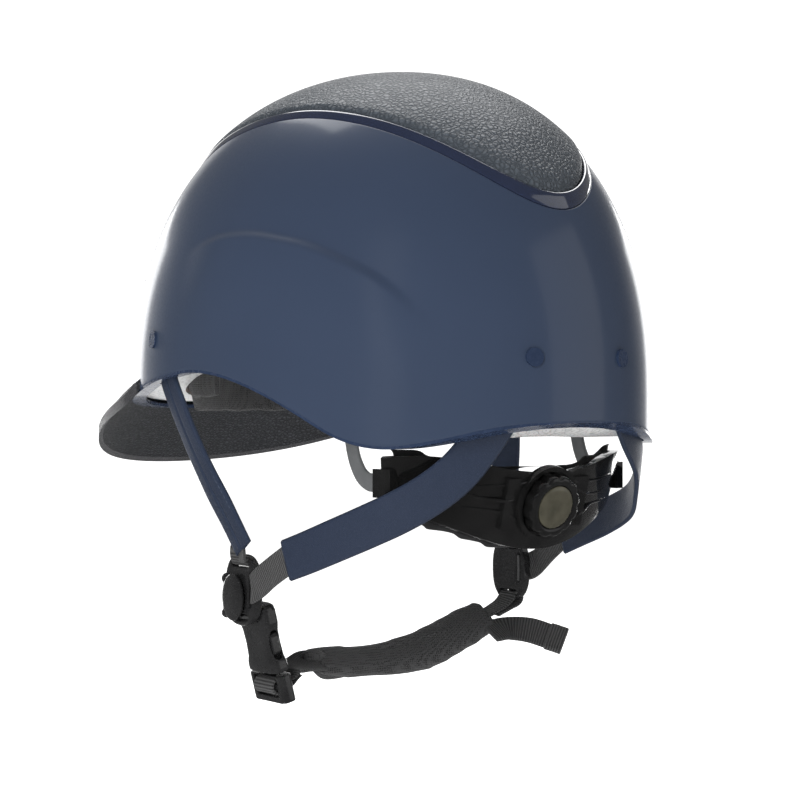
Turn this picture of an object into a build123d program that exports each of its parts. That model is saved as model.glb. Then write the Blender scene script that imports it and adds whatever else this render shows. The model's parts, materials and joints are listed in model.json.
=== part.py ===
from build123d import *
import os
from math import atan2, cos, degrees, hypot, pi, radians, sin

# Riding helmet: a domed shell over a foam liner, a wide peak, a raised crown insert,
# a turn-dial nape cradle and a Y-shaped harness with a side-release buckle.
# Millimetres. +X is the wearer's left, -Y the front, +Z up.
# The origin is the centre of the head opening, level with the widest part of the dome.

# ---- driving dimensions -------------------------------------------------------------
HALF_WIDTH, REAR, FRONT, CROWN = 110.0, 127.0, 147.0, 147.0  # outer dome, from the origin
DOME_POWER = 2.26                # fullness of the dome's side profile
DOME_FLOOR = -45.0               # the dome's wall is carried straight down to here
SHELL_WALL = 2.2
GAP = 0.3                        # between neighbouring layers
LINER_INSET = 24.0               # inside of the foam at the sides, from the shell's outside
LINER_INSET_LONG = 28.0          # the same at the front, rear and crown
PAD_THICKNESS = 7.0
BROW_LOW, BROW_TOP = -3.0, 33.0   # heights of the brow pad's edges
FOREHEAD_LOW = -9.0              # its lower edge over the forehead

INSERT_HALF_WIDTH, INSERT_HALF_LENGTH, INSERT_Y = 69.5, 127.0, -15.0
INSERT_RIM = 3.5                 # glossy ring round the crown insert
INSERT_DEPTH, INSERT_PROUD, RING_PROUD = 1.3, 1.6, 0.5

PEAK_HALF_WIDTH, PEAK_BACK_Y, PEAK_REACH = 102.45, -34.9, 159.0
PEAK_FRONT_Z, PEAK_RISE = -33.9, 46.4
PEAK_END = 78.0                  # degrees from the front where the peak's tips end
PEAK_TOP, PEAK_LINING, PEAK_BAND = 3.2, 1.4, 4.5

STRAP_WIDTH, STRAP_THICKNESS = 18.0, 2.2         # rear harness sleeve
NARROW_WIDTH, NARROW_THICKNESS = 17.0, 2.4       # front harness sleeve
WEB_WIDTH, WEB_THICKNESS, FRONT_WEB_WIDTH = 16.0, 1.4, 13.0

DIAL_FACE = (0.0, 110.0, -46.0)
DIAL_LEAN = 15.6                 # degrees that the dial faces down
DIAL_RADIUS, DIAL_HEIGHT, DIAL_LOBES = 13.5, 6.5, 12
CAP_RADIUS = 9.3
PINION_TEETH, TOOTH_PITCH = 10, 3.0
ADDENDUM, DEDENDUM = 0.7, 1.0
TIGHTEN, LOOSEN = 4.0, 2.0       # rack travel each way
CRADLE_Y, CRADLE_RADIUS, CRADLE_WALL, CRADLE_SWEEP = 14.0, 89.3, 5.5, 47.0
NAPE_PAD_THICKNESS, NAPE_PAD_EDGE = 5.0, 4.0
ARM_X, ARM_Y, ARM_Z = 65.5, 53.0, 2.0            # pivot of the headband arms
ARM_WIDTH, ARM_THICKNESS = 8.0, 1.8
TONGUE_Z = -35.0                 # height of the straight arm ends in the cradle
PIVOT_RADIUS, RUNNING = 2.5, 0.06

CHIN_PIVOT = (-80.5, -9.0, -99.0)
BAR = (65.0, -5.5, -127.5)       # ladder bar of the buckle's male half
PULL_OUT = 7.6                   # degrees of chin strap swing that part the buckle
BUCKLE_BAR_Z = 37.7              # bar's distance from the buckle's upper end

SIDES = {"left": 1, "right": -1}
PITCH_RADIUS = PINION_TEETH * TOOTH_PITCH / (2 * pi)


# ---- helpers ------------------------------------------------------------------------
def dome(inset, inset_long=None, steps=6):
    """Solid dome with its wall carried down to DOME_FLOOR, inset from the outer surface."""
    long = inset if inset_long is None else inset_long
    width, height = HALF_WIDTH - inset, CROWN - long
    angles = [pi / 2 * i / steps for i in range(steps)]
    points = [(width * cos(a) ** (2 / DOME_POWER), height * sin(a) ** (2 / DOME_POWER)) for a in angles]
    points.append((0, height))
    outline = Line((0, DOME_FLOOR), (width, DOME_FLOOR)) + Line((width, DOME_FLOOR), (width, 0))
    outline += Spline(points, tangents=[(0, 1), (-1, 0)])
    outline += Line((0, height), (0, DOME_FLOOR))
    half = revolve(Plane.XZ * make_face(outline), Axis.Z, 180)
    rear = scale(half, by=(1, (REAR - long) / width, 1))
    front = scale(mirror(half, Plane.XZ), by=(1, (FRONT - long) / width, 1))
    return rear + front


def rim_cutter(lift):
    """Everything under the rim line, raised by lift."""
    rim = [(-178, 1), (-147, -4.5), (-120, -3), (-90, 0), (-61, 4.3), (-42, 7.9), (-25, 10.5), (-5, 12.4),
           (12, 11.5), (37, 5.1), (61, -6.7), (76, -15.5), (91, -19), (105, -16.4), (121, -10.4), (142, -8)]
    rim = [(y, z + lift) for y, z in rim]
    line = Spline(rim) + Polyline(rim[-1], (rim[-1][0], -90), (rim[0][0], -90), rim[0])
    return extrude(Plane.YZ * make_face(line), 150, both=True)


def rim_height(y):
    """Height of the rim line at y, near enough to place parts from it."""
    knots = [(-150, -4.5), (-120, -3), (-90, 0), (-61, 4.3), (-25, 10.5), (-5, 12.4)]
    for (y0, z0), (y1, z1) in zip(knots, knots[1:]):
        if y <= y1:
            return z0 + (z1 - z0) * (y - y0) / (y1 - y0)
    return knots[-1][1]


def outward(point):
    """Unit normal of the dome at a point on or near it."""
    x, y, z = point
    along = REAR if y > 0 else FRONT
    rise = (max(z, 0) / CROWN) ** (DOME_POWER - 1) / CROWN
    return Vector(x / HALF_WIDTH ** 2, y / along ** 2, rise).normalized()


def strip(points, normals, width, thickness):
    """Flat strap through points, its flat side facing the normals."""
    sections = []
    for i, point in enumerate(points):
        before, after = points[max(i - 1, 0)], points[min(i + 1, len(points) - 1)]
        tangent = (Vector(*after) - Vector(*before)).normalized()
        across = Vector(*normals[i]).cross(tangent).normalized()
        plane = Plane(origin=point, x_dir=across, z_dir=tangent)
        sections.append(plane * RectangleRounded(width, thickness, thickness * 0.4))
    return loft(sections)


def round_normals(points):
    """Flat sides face away from the vertical line through the cradle's centre."""
    return [(x, y - CRADLE_Y, 0) for x, y, z in points]


def ellipse_tube(points, normals, sizes):
    """Closed soft form through points, with an oval section (width, thickness) at each."""
    sections = []
    for i, point in enumerate(points):
        before, after = points[max(i - 1, 0)], points[min(i + 1, len(points) - 1)]
        tangent = (Vector(*after) - Vector(*before)).normalized()
        across = Vector(*normals[i]).cross(tangent).normalized()
        plane = Plane(origin=point, x_dir=across, z_dir=tangent)
        sections.append(plane * Ellipse(sizes[i][0] / 2, sizes[i][1] / 2))
    return loft(sections)


def save(name, shape):
    solids = shape.solids()
    export_step(solids[0] if len(solids) == 1 else Compound(children=list(solids)), f"parts/{name}.step")


os.makedirs("parts", exist_ok=True)

# ---- shell, crown insert and plugs --------------------------------------------------
outer = dome(0)
insert_hole = Pos(0, INSERT_Y, 20) * extrude(Ellipse(INSERT_HALF_WIDTH, INSERT_HALF_LENGTH), 150)
insert_inner = Pos(0, INSERT_Y, 20) * extrude(
    Ellipse(INSERT_HALF_WIDTH - INSERT_RIM, INSERT_HALF_LENGTH - INSERT_RIM), 150)
insert_core = Pos(0, INSERT_Y, 20) * extrude(
    Ellipse(INSERT_HALF_WIDTH - INSERT_RIM - 0.2, INSERT_HALF_LENGTH - INSERT_RIM - 0.2), 150)
seat = dome(INSERT_DEPTH)
rim = rim_cutter(0)

plug_points = {"front": (105.0, -42.0, 26.0), "rear": (25.0, 124.0, 17.0)}
PLUG_RADIUS, PLUG_DEPTH, PLUG_PROUD = 3.9, 2.0, 0.3
holes, plugs, rivets = [], {}, []
for row, (x, y, z) in plug_points.items():
    plugs[row] = []
    for side in SIDES.values():
        face = Plane(origin=(side * x, y, z), z_dir=outward((side * x, y, z)))
        holes.append(face * Cylinder(PLUG_RADIUS + 0.1, 12))
        plugs[row].append(face * Pos(0, 0, (PLUG_PROUD - PLUG_DEPTH) / 2) * Cylinder(
            PLUG_RADIUS, PLUG_DEPTH + PLUG_PROUD))
        rivets.append(face * Pos(0, 0, -7.6) * Cylinder(2.4, 9) + face * Pos(0, 0, -3.3) * Cylinder(4, 1.4))

shell = outer - dome(SHELL_WALL) - rim - (insert_hole - seat) - holes
save("outer_shell", shell)
below_seat = dome(INSERT_DEPTH - 0.05)
save("crown_trim", (dome(-RING_PROUD) & (insert_hole - insert_inner)) - below_seat)
save("crown_panel", (dome(-INSERT_PROUD) & insert_core) - below_seat)
for row in plugs:
    save(f"{row}_plugs", Compound(children=plugs[row]))
save("strap_rivets", Compound(children=rivets))

# ---- liner and comfort pads ---------------------------------------------------------
foam_outside = dome(SHELL_WALL + GAP)
foam_inside = dome(LINER_INSET, LINER_INSET_LONG)

# Harness routes on both sides, from the plugs down to the dividers.
front_route = {
    "left": [(99.0, -41, 22), (101.0, -34.5, 9), (99, -28.4, -5.5), (96, -23.3, -18.8), (92, -14.8, -36.3),
             (89, -5, -51.4), (86, 3, -65.5)],
    "right": [(-99.0, -41, 22), (-101.0, -37, 9), (-99.5, -34.5, -8), (-97.0, -31.5, -28), (-93, -28.5, -45),
              (-88.5, -25, -60), (-85.5, -21.5, -71)],
}
rear_route = {
    "left": [(25, 117.5, 16), (31.5, 113.5, -2), (38.5, 108.5, -16), (49.5, 102.5, -31), (59.5, 95.8, -40),
             (68, 88, -46.5), (75, 77.5, -52.3), (80.5, 63, -58.6), (84, 46, -65), (85, 34, -68.8)],
    "right": [(-27, 114.6, 16), (-35.5, 111, -2), (-44, 108, -14.5), (-56, 102.5, -27), (-66, 91.5, -38),
              (-75.5, 77.5, -47.5), (-79.0, 60, -55), (-79.5, 42, -61.5), (-80, 28, -66.5)],
}


def front_normals(side):
    """Flat sides follow the dome: sideways and a little to the front."""
    return [(SIDES[side], -0.25, 0) for p in front_route[side]]


strap_channels = []
for side in SIDES:
    strap_channels.append(strip(front_route[side], front_normals(side), NARROW_WIDTH + 1.2, NARROW_THICKNESS + 1.2))
    strap_channels.append(strip(rear_route[side], round_normals(rear_route[side]),
                                STRAP_WIDTH + 1.2, STRAP_THICKNESS + 1.2))
foam_edge = 1.8                  # foam stops above the shell's edge
liner = foam_outside - foam_inside - rim_cutter(foam_edge) - strap_channels
save("eps_liner", liner)

# Edge moulding that caps the foam and the shell along the rim.
moulding = dome(0.1) - dome(6.5)
moulding = moulding - rim_cutter(-1.5)
moulding = moulding & rim_cutter(-0.05)
moulding = moulding - strap_channels
save("rim_moulding", moulding)

pad_outside = dome(LINER_INSET + 0.4, LINER_INSET_LONG + 0.4)
pad_inside = dome(LINER_INSET + PAD_THICKNESS, LINER_INSET_LONG + PAD_THICKNESS)
pad_skin = pad_outside - pad_inside
brow_shape = Pos(0, -85, (BROW_TOP + BROW_LOW) / 2) * Box(200, 130, BROW_TOP - BROW_LOW)
brow_shape += Pos(0, -120, (BROW_TOP + FOREHEAD_LOW) / 2) * Box(200, 60, BROW_TOP - FOREHEAD_LOW)
save("brow_pad", pad_skin & brow_shape)
crown_shape = Pos(0, -8, 60) * extrude(Rectangle(34, 150) + Rectangle(130, 30), 90)
save("crown_pad", pad_skin & crown_shape)

# ---- peak ---------------------------------------------------------------------------
def peak_layer(start, end, top, bottom, count=9):
    """Layer of the peak from start to end mm short of its edge, between two heights."""
    sections = []
    for i in range(count):
        turn = radians(PEAK_END * (2 * i / (count - 1) - 1))
        rise = (1 - cos(turn)) ** 1.1
        tip = Vector(PEAK_HALF_WIDTH * sin(turn), PEAK_BACK_Y - PEAK_REACH * cos(turn), PEAK_FRONT_Z + PEAK_RISE * rise)
        root_y = -(FRONT - 6) * cos(turn * 0.93)
        root = Vector((HALF_WIDTH - 5) * sin(turn * 0.93), root_y, rim_height(root_y) + 3.4)
        reach = (tip - root).length
        a, b = tip - (tip - root) * (min(start, reach) / reach), tip - (tip - root) * (end / reach)
        crown = Vector(0, 0, 2.2 * (1 - end / reach))
        mid = (a + b) * 0.5 + crown * ((a - b).length / reach)
        top_edge = ThreePointArc(a + Vector(0, 0, top), mid + Vector(0, 0, top), b + Vector(0, 0, top))
        low_edge = ThreePointArc(b + Vector(0, 0, bottom), mid + Vector(0, 0, bottom), a + Vector(0, 0, bottom))
        wire = top_edge + Line(top_edge @ 1, low_edge @ 0) + low_edge + Line(low_edge @ 1, top_edge @ 0)
        sections.append(Face(Wire(wire.edges())))
    return loft(sections)


whole_peak = 999.0
save("peak_board", peak_layer(whole_peak, PEAK_BAND + 0.2, PEAK_TOP, 0) - outer - strap_channels)
save("peak_lining", peak_layer(whole_peak, PEAK_BAND + 0.2, -0.1, -PEAK_LINING) - outer - strap_channels - moulding)
save("peak_edge_band", peak_layer(PEAK_BAND, 0, PEAK_TOP + 0.2, -PEAK_LINING - 0.2) - outer)


# ---- nape cradle with its dial ------------------------------------------------------
lean = radians(DIAL_LEAN)
# Local frame of the dial: z out of its face, y up, x towards the wearer's right.
dial_plane = Plane(origin=DIAL_FACE, x_dir=(-1, 0, 0), z_dir=(0, cos(lean), -sin(lean)))
WALL_FACE = -7.0                 # cradle's outer face at the dial, from the dial's face
BLOCK = (46.0, 22.0, 9.0)        # housing of the rack drive
CAVITY = (41.0, 17.0, 4.2)
CAVITY_TOP = WALL_FACE - 2.4
BEZEL_HEIGHT = 3.6               # half of it stands out of the cradle's face
COVER_FACE = CAVITY_TOP - CAVITY[2]


def lean_band(start, thickness, low, high):
    """Upright band round the nape that leans back like the dial, start mm inside its face."""
    def radius(z):
        return CRADLE_RADIUS - start + (z + 44.0) * sin(lean) / cos(lean)
    corners = [(radius(low), low), (radius(high), high), (radius(high) - thickness, high),
               (radius(low) - thickness, low)]
    face = Plane.XZ * make_face(Polyline(*corners, corners[0]))
    band = Rot(0, 0, 90 - CRADLE_SWEEP) * revolve(face, Axis.Z, 2 * CRADLE_SWEEP)
    return Pos(0, CRADLE_Y, 0) * band


upper_line = [(-75, -26), (-50, -24), (-24, -29), (0, -31), (24, -29), (50, -24), (75, -26)]
lower_line = [(75, -46), (48, -51), (24, -60), (0, -64), (-24, -60), (-48, -51), (-75, -46)]


def front_outline(grow):
    """Outline of the cradle seen along Y, grown at its top and bottom."""
    top = [(x, z + grow) for x, z in upper_line]
    low = [(x, z - grow) for x, z in lower_line]
    loop = Spline(top) + Line(top[-1], low[0]) + Spline(low) + Line(low[-1], top[0])
    return Pos(0, 200, 0) * extrude(Plane.XZ * make_face(loop), 200)


block = dial_plane * Pos(0, 0, WALL_FACE - BLOCK[2] / 2) * Box(*BLOCK)
cavity = dial_plane * Pos(0, 0, CAVITY_TOP - CAVITY[2] / 2) * Box(*CAVITY)
cover_space = dial_plane * Pos(0, 0, COVER_FACE - 10) * Box(CAVITY[0] + 1.6, CAVITY[1] + 1.6, 20)
sleeves, sleeve_holes, arms, anchors, arm_rivets = [], [], [], [], []
SLEEVE_START, SLEEVE_END, SLEEVE_WALL, SLIDE_CLEARANCE = 72.0, 82.0, 1.6, 0.35
ARM_TIP, SLEEVE_ROUND = 76.4, 95.5
for side in SIDES.values():
    x = side * ARM_X
    hole_size = (ARM_THICKNESS + 2 * SLIDE_CLEARANCE, ARM_WIDTH + 2 * SLIDE_CLEARANCE)
    sleeves.append((Pos(x, (SLEEVE_START + SLEEVE_END) / 2, TONGUE_Z) * Box(
        hole_size[0] + 2 * SLEEVE_WALL, SLEEVE_END - SLEEVE_START, hole_size[1] + 2 * SLEEVE_WALL))
        & Pos(0, CRADLE_Y, 0) * Cylinder(SLEEVE_ROUND, 200))
    hole_end = ARM_TIP + TIGHTEN + 0.4
    sleeve_holes.append(Pos(x, hole_end - 10, TONGUE_Z) * Box(hole_size[0], 20, hole_size[1]))
    # The arm drops from its pivot and turns back into the cradle.
    joints = [(ARM_Y, ARM_Z), (ARM_Y, -9.0), (ARM_Y + 0.8, -18.0), (ARM_Y + 3.2, -26.0), (ARM_Y + 7.5, -32.0),
              (ARM_Y + 13.5, TONGUE_Z)]
    flat = Sketch() + [Pos(*p) * Circle(ARM_WIDTH / 2) for p in joints]
    for p, q in zip(joints, joints[1:]):
        middle = ((p[0] + q[0]) / 2, (p[1] + q[1]) / 2)
        turn = degrees(atan2(q[1] - p[1], q[0] - p[0]))
        flat += Pos(*middle) * Rot(0, 0, turn) * Rectangle(hypot(q[0] - p[0], q[1] - p[1]), ARM_WIDTH)
    flat += Pos((joints[-1][0] + ARM_TIP) / 2, TONGUE_Z) * Rectangle(ARM_TIP - joints[-1][0], ARM_WIDTH)
    flat -= Pos(ARM_Y, ARM_Z) * Circle(PIVOT_RADIUS + RUNNING)
    arms.append(Pos(x, 0, 0) * extrude(Plane.YZ * flat, ARM_THICKNESS / 2, both=True))
    across = Plane(origin=(x, ARM_Y, ARM_Z), z_dir=(side, 0, 0))
    base = across * Pos(0, 0, ARM_THICKNESS / 2 + 0.2)
    anchors.append(base * Pos(0, 0, 1.5) * Cylinder(8, 3) + base * Pos(0, 0, 8) * Cylinder(3.6, 14)
                   - base * Pos(0, 0, 3) * Cylinder(PIVOT_RADIUS, 6.4))
    arm_rivets.append(across * Pos(0, 0, -ARM_THICKNESS / 2 - 0.8) * Cylinder(4.5, 1.2)
                  + across * Pos(0, 0, (5.6 - ARM_THICKNESS) / 2 - 0.3) * Cylinder(PIVOT_RADIUS, 6.2))

knob_well = dial_plane * Pos(0, 0, WALL_FACE + 6) * Cylinder(DIAL_RADIUS + 0.8, 12)
bezel = dial_plane * Pos(0, 0, WALL_FACE) * Cylinder(DIAL_RADIUS + 2.8, BEZEL_HEIGHT)
shaft_hole = dial_plane * Pos(0, 0, CAVITY_TOP) * Cylinder(3.0 + RUNNING, 12)
cradle = (lean_band(0, CRADLE_WALL, -70, -20) & front_outline(0)) + block + bezel + sleeves
cradle = cradle - cavity - cover_space - knob_well - shaft_hole - sleeve_holes
save("nape_cradle", cradle)
cover = dial_plane * Pos(0, 0, COVER_FACE - 1.1) * Box(CAVITY[0] + 1.3, CAVITY[1] + 1.3, 2.0)
save("drive_cover", cover)

pad = lean_band(CRADLE_WALL + GAP, NAPE_PAD_THICKNESS, -67, -16) & front_outline(NAPE_PAD_EDGE)
pad = pad - dial_plane * Pos(0, 0, WALL_FACE - BLOCK[2] / 2 - 1) * Box(BLOCK[0] + 1, BLOCK[1] + 1, BLOCK[2] + 2.6)
pad = pad - [Pos(side * ARM_X, 70, TONGUE_Z) * Box(8, 42, 24) for side in SIDES.values()]
save("nape_pad", pad)
save("headband_arms", Compound(children=arms))
save("arm_anchors", Compound(children=anchors))
save("arm_rivets", Compound(children=arm_rivets))

lobes = [Rot(0, 0, 360 / DIAL_LOBES * i) * Pos(DIAL_RADIUS + 0.9, 0) * Circle(1.6) for i in range(DIAL_LOBES)]
knob = extrude(Circle(DIAL_RADIUS) - lobes, -DIAL_HEIGHT)
knob = knob - Pos(0, 0, -0.6) * Cylinder(CAP_RADIUS + 0.1, 1.4)
KNOB_BORE = 2.2
knob = knob - Pos(0, 0, -DIAL_HEIGHT) * Cylinder(KNOB_BORE, 6)
save("dial_knob", dial_plane * knob)
save("dial_cap", dial_plane * Pos(0, 0, -0.5) * Cylinder(CAP_RADIUS, 1.4))


root_half, tip_half = 0.3 * TOOTH_PITCH, 0.12 * TOOTH_PITCH      # half-widths of a tooth at its root and tip
tooth = Polyline((PITCH_RADIUS - DEDENDUM - 0.3, -root_half), (PITCH_RADIUS + ADDENDUM, -tip_half),
                 (PITCH_RADIUS + ADDENDUM, tip_half), (PITCH_RADIUS - DEDENDUM - 0.3, root_half),
                 (PITCH_RADIUS - DEDENDUM - 0.3, -root_half))
gear = Circle(PITCH_RADIUS - DEDENDUM)
for i in range(PINION_TEETH):
    gear += Rot(0, 0, 90 + 360 / PINION_TEETH * i) * make_face(tooth)
GEAR_THICKNESS = CAVITY[2] - 0.5
gear_middle = CAVITY_TOP - CAVITY[2] / 2
pinion = Pos(0, 0, gear_middle - GEAR_THICKNESS / 2) * extrude(gear, GEAR_THICKNESS)
pinion += Pos(0, 0, gear_middle) * extrude(Circle(3.0), -DIAL_HEIGHT - 0.1 - gear_middle)
pinion += Pos(0, 0, -DIAL_HEIGHT - 0.2) * extrude(Circle(KNOB_BORE), 3.0)
save("dial_pinion", dial_plane * pinion)

RACK_BACK, RACK_THICKNESS = 8.0, CAVITY[2] - 0.6
for side, name in ((-1, "left"), (1, "right")):
    low_end, high_end = (-16.0, 8.0) if side < 0 else (-8.0, 16.0)
    height = RACK_BACK - PITCH_RADIUS - DEDENDUM
    bar = Pos((low_end + high_end) / 2, PITCH_RADIUS + DEDENDUM + height / 2) * Rectangle(high_end - low_end, height)
    for i in range(-5, 6):
        middle = (i + 0.5) * TOOTH_PITCH
        if low_end < middle - root_half and middle + root_half < high_end:
            bar += make_face(Polyline(
                (middle - root_half, PITCH_RADIUS + DEDENDUM + 0.1), (middle - tip_half, PITCH_RADIUS - ADDENDUM),
                (middle + tip_half, PITCH_RADIUS - ADDENDUM), (middle + root_half, PITCH_RADIUS + DEDENDUM + 0.1),
                (middle - root_half, PITCH_RADIUS + DEDENDUM + 0.1)))
    rack = Pos(0, 0, gear_middle - RACK_THICKNESS / 2) * extrude(bar, RACK_THICKNESS)
    save(f"rack_{name}", dial_plane * (rack if side < 0 else mirror(rack, Plane.XZ)))

# ---- harness ------------------------------------------------------------------------
DIVIDER = (23.0, 31.0, 3.6)      # length along Y, height, thickness
divider_places = {"left": (81.0, -4.5, -84.5), "right": (-80.5, -9.0, -84.5)}
LEVER = (15.0, 20.0, 3.4)

for side, sign in SIDES.items():
    x, y, z = divider_places[side]
    route = front_route[side]
    front_sleeve = strip(route, front_normals(side), NARROW_WIDTH, NARROW_THICKNESS)
    last = Vector(*route[-1])
    web = [tuple(last), (x + sign * 3.2, y + 0.8, z + 17.2), (x + sign * 2.8, y + 0.5, z + 11.4)]
    if last.Z < z + 18:
        web = [tuple(last), (x + sign * 3.4, y - 4.5, z + 15.2), (x + sign * 2.8, y + 0.5, z + 14.2)]
    front_web = strip(web, [(sign, -0.2, 0), (sign, 0, 0), (sign, 0, 0)], FRONT_WEB_WIDTH, WEB_THICKNESS)
    route = rear_route[side]
    rear_sleeve = strip(route, round_normals(route), STRAP_WIDTH, STRAP_THICKNESS)
    last = Vector(*route[-1])
    middle = (last + Vector(x + sign * 3.2, y + 14, z + 3.6)) * 0.5
    web = [tuple(last), tuple(middle), (x + sign * 3.1, y + 13.5, z + 3.2), (x + sign * 2.8, y + 8.3, z + 0.8)]
    rear_web = strip(web, [(sign, 0.1, 0)] * 3 + [(sign, 0, 0)], WEB_WIDTH - 3, WEB_THICKNESS)
    save(f"front_strap_{side}", front_sleeve)
    save(f"rear_strap_{side}", rear_sleeve)
    save(f"front_webbing_{side}", front_web)
    save(f"rear_webbing_{side}", rear_web)

    # Divider: a rounded plate with slots for three webbings and a cam lever outside it.
    face = Plane(origin=(x, y, z), x_dir=(0, 1, 0), z_dir=(1, 0, 0))
    plate = face * Box(DIVIDER[0], DIVIDER[1], DIVIDER[2])
    plate = fillet(plate.edges().filter_by(Axis.X), 6.5)
    pin_at = Pos(-9.0, -3.0, sign * (DIVIDER[2] / 2 + 2.1))
    ears = [face * pin_at * Pos(0, dy, -sign * 0.6) * Box(4.4, 2.6, 4.0) for dy in (-7.6, 7.6)]
    divider = plate + ears
    divider = divider - face * Pos(8.3, 0.6, 0) * Box(3.0, 14.0, 12)
    divider = divider - face * Pos(0.0, 11.4, 0) * Box(14.0, 3.2, 12)
    divider = divider - face * Pos(0, -12.0, 0) * Box(12.8, 3.2, 12)
    divider = divider - face * pin_at * Rot(90, 0, 0) * Cylinder(1.0 + RUNNING, 40)
    save(f"divider_{side}", divider)
    save(f"lever_pin_{side}", face * pin_at * Rot(90, 0, 0) * Cylinder(1.0, 17.6))
    lever = face * Pos(-1.7, -3.0, sign * (DIVIDER[2] / 2 + 2.1)) * extrude(
        Ellipse(LEVER[0] / 2, LEVER[1] / 2), LEVER[2] / 2, both=True)
    barrel = face * pin_at * Rot(90, 0, 0) * Cylinder(1.8, 12.0)
    hub_room = face * pin_at * Rot(90, 0, 0) * Cylinder(2.2, 17.8) - face * pin_at * Rot(90, 0, 0) * Cylinder(9, 12.0)
    lever = lever + barrel - hub_room - [face * pin_at * Pos(0, dy, 0) * Box(9.6, 3.4, 9) for dy in (-7.6, 7.6)]
    lever = lever - face * pin_at * Rot(90, 0, 0) * Cylinder(1.0 + RUNNING, 40)
    save(f"divider_lever_{side}", lever)

# Buckle: its halves part along the chord of the chin strap's first few degrees of swing.
arm_x, arm_z = BAR[0] - CHIN_PIVOT[0], BAR[2] - CHIN_PIVOT[2]
part_turn = radians(PULL_OUT)
moved = (arm_x * cos(part_turn) + arm_z * sin(part_turn), -arm_x * sin(part_turn) + arm_z * cos(part_turn))
pull = Vector(moved[0] - arm_x, 0, moved[1] - arm_z).normalized()
buckle = Plane(origin=Vector(*BAR) - pull * BUCKLE_BAR_Z, x_dir=(0, 1, 0), z_dir=pull)
FEMALE = (22.4, 8.6, 31.0)
CAVITY_HALF_X, CAVITY_HALF_Y, CAVITY_START = 10.2, 3.0, 9.5


def rounded_box(length, width, low, high, radius):
    """Upright box between two heights with rounded long edges."""
    return Pos(0, 0, low) * extrude(RectangleRounded(length, width, radius), high - low)


female = rounded_box(FEMALE[0], FEMALE[1], 0, FEMALE[2], 3.0)
female -= Pos(0, 0, (CAVITY_START + 40) / 2) * Box(2 * CAVITY_HALF_X, 2 * CAVITY_HALF_Y, 40 - CAVITY_START)
female -= [Pos(side * 11, 0, 18.5) * Box(5, 4.6, 13) for side in SIDES.values()]
female -= Pos(0, 0, 5.0) * Box(13.4, 20, 3.4)
save("buckle_female", buckle * female)
BASE_START = 32.4
male = rounded_box(25.0, 7.0, BASE_START, 45.0, 2.6)
male -= [Pos(0, 0, z) * Box(17.0, 20, 3.4) for z in (BUCKLE_BAR_Z - 3.0, BUCKLE_BAR_Z + 3.0)]
male += Pos(0, 0, (13 + BASE_START) / 2) * Box(4.4, 3.4, BASE_START + 0.4 - 13)
save("buckle_male", buckle * male)
PRONG_X, PRONG_PIVOT_Z, PRONG_ROOT = 6.7, 30.4, 1.4
for name, sign in (("front", -1), ("rear", 1)):
    outline = [(sign * a, b) for a, b in ((5.3, PRONG_PIVOT_Z), (5.3, 14.0), (6.6, 12.6), (9.2, 13.4), (9.9, 15.0),
                                          (9.9, 22.0), (8.1, 24.0), (8.1, PRONG_PIVOT_Z))]
    prong = Sketch() + make_face(Polyline(*outline, outline[0])) + Pos(sign * PRONG_X, PRONG_PIVOT_Z) * Circle(PRONG_ROOT)
    save(f"buckle_prong_{name}", buckle * extrude(Plane.XZ * prong, 2.1, both=True))

# Short webbing from the left divider down to the buckle.
hang_low = buckle.from_local_coords(Vector(0, -1.5, 5.0))
left = divider_places["left"]
hang = [(left[0] + 1.4, left[1], left[2] - 12.0), (left[0] - 3.0, left[1] - 0.4, left[2] - 12.0), tuple(hang_low)]
save("buckle_webbing", strip(hang, [(0, 0, 1)] * 3, 12.0, WEB_THICKNESS))

# Loop of chin webbing on the ladder bar, then the strap, its pad and its tail.
loop = [buckle.from_local_coords(Vector(0, y, BUCKLE_BAR_Z - 3.0)) for y in (1.5, -4.5)]
loop_end = Vector(*BAR) + Vector(-9.5, -1.6, 5.4)
save("chin_web_loop", strip([tuple(p) for p in (*loop, loop_end)], [(0.2, 0, 1), (0.2, 0, 1), (0.1, 0.1, 1)],
                            WEB_WIDTH - 0.6, WEB_THICKNESS))
pad_route = [(36.0, -16.5, -121.0), (24, -20.0, -123.0), (8, -21.8, -124.4), (-10, -21.8, -125.2), (-27, -20.0, -123.4),
             (-43, -17.0, -118.0), (-57, -13.5, -111.0), (-68, -11.0, -105.5)]
pad_sizes = [(20, 9), (25, 12), (25, 12.5), (26, 13), (28, 15), (28, 15), (27, 14), (22, 11)]
save("chin_pad", ellipse_tube(pad_route, [(0, 0.6, 1)] * len(pad_route), pad_sizes))
web_start = loop_end + Vector(-1.8, -0.5, 0.3)
left_web = [tuple(web_start), (46.0, -11.5, -121.6), (37.2, -15.8, -121.0)]
save("chin_webbing_left", strip(left_web, [(0.1, 0.2, 1), (0.1, 0.4, 1), (0, 0.6, 1)], WEB_WIDTH - 0.6, WEB_THICKNESS))
right_web = [(-69.2, -10.7, -104.8), (-73.4, -9.8, -102.4), (-76.6, -9.2, -100.6)]
save("chin_webbing_right", strip(right_web, [(0.6, 0, 1)] * 3, 12.0, WEB_THICKNESS))
tail_route = [(-60.0, -1.8, -114.0), (-70.0, -0.5, -113.0), (-78, 6.5, -113.6), (-85.0, 13.5, -116.5), (-89.5, 18.5, -118.6)]
tail_normals = [(-0.5, 0.5, 1), (-0.4, 0.3, 1), (-0.3, 0.3, 1), (-0.3, 0.4, 1), (-0.3, 0.4, 1)]
save("strap_tail", strip(tail_route, tail_normals, WEB_WIDTH, WEB_THICKNESS + 0.6))
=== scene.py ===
import json
import math

import bmesh
import bpy
import numpy as np
from mathutils import Matrix, Vector


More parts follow.
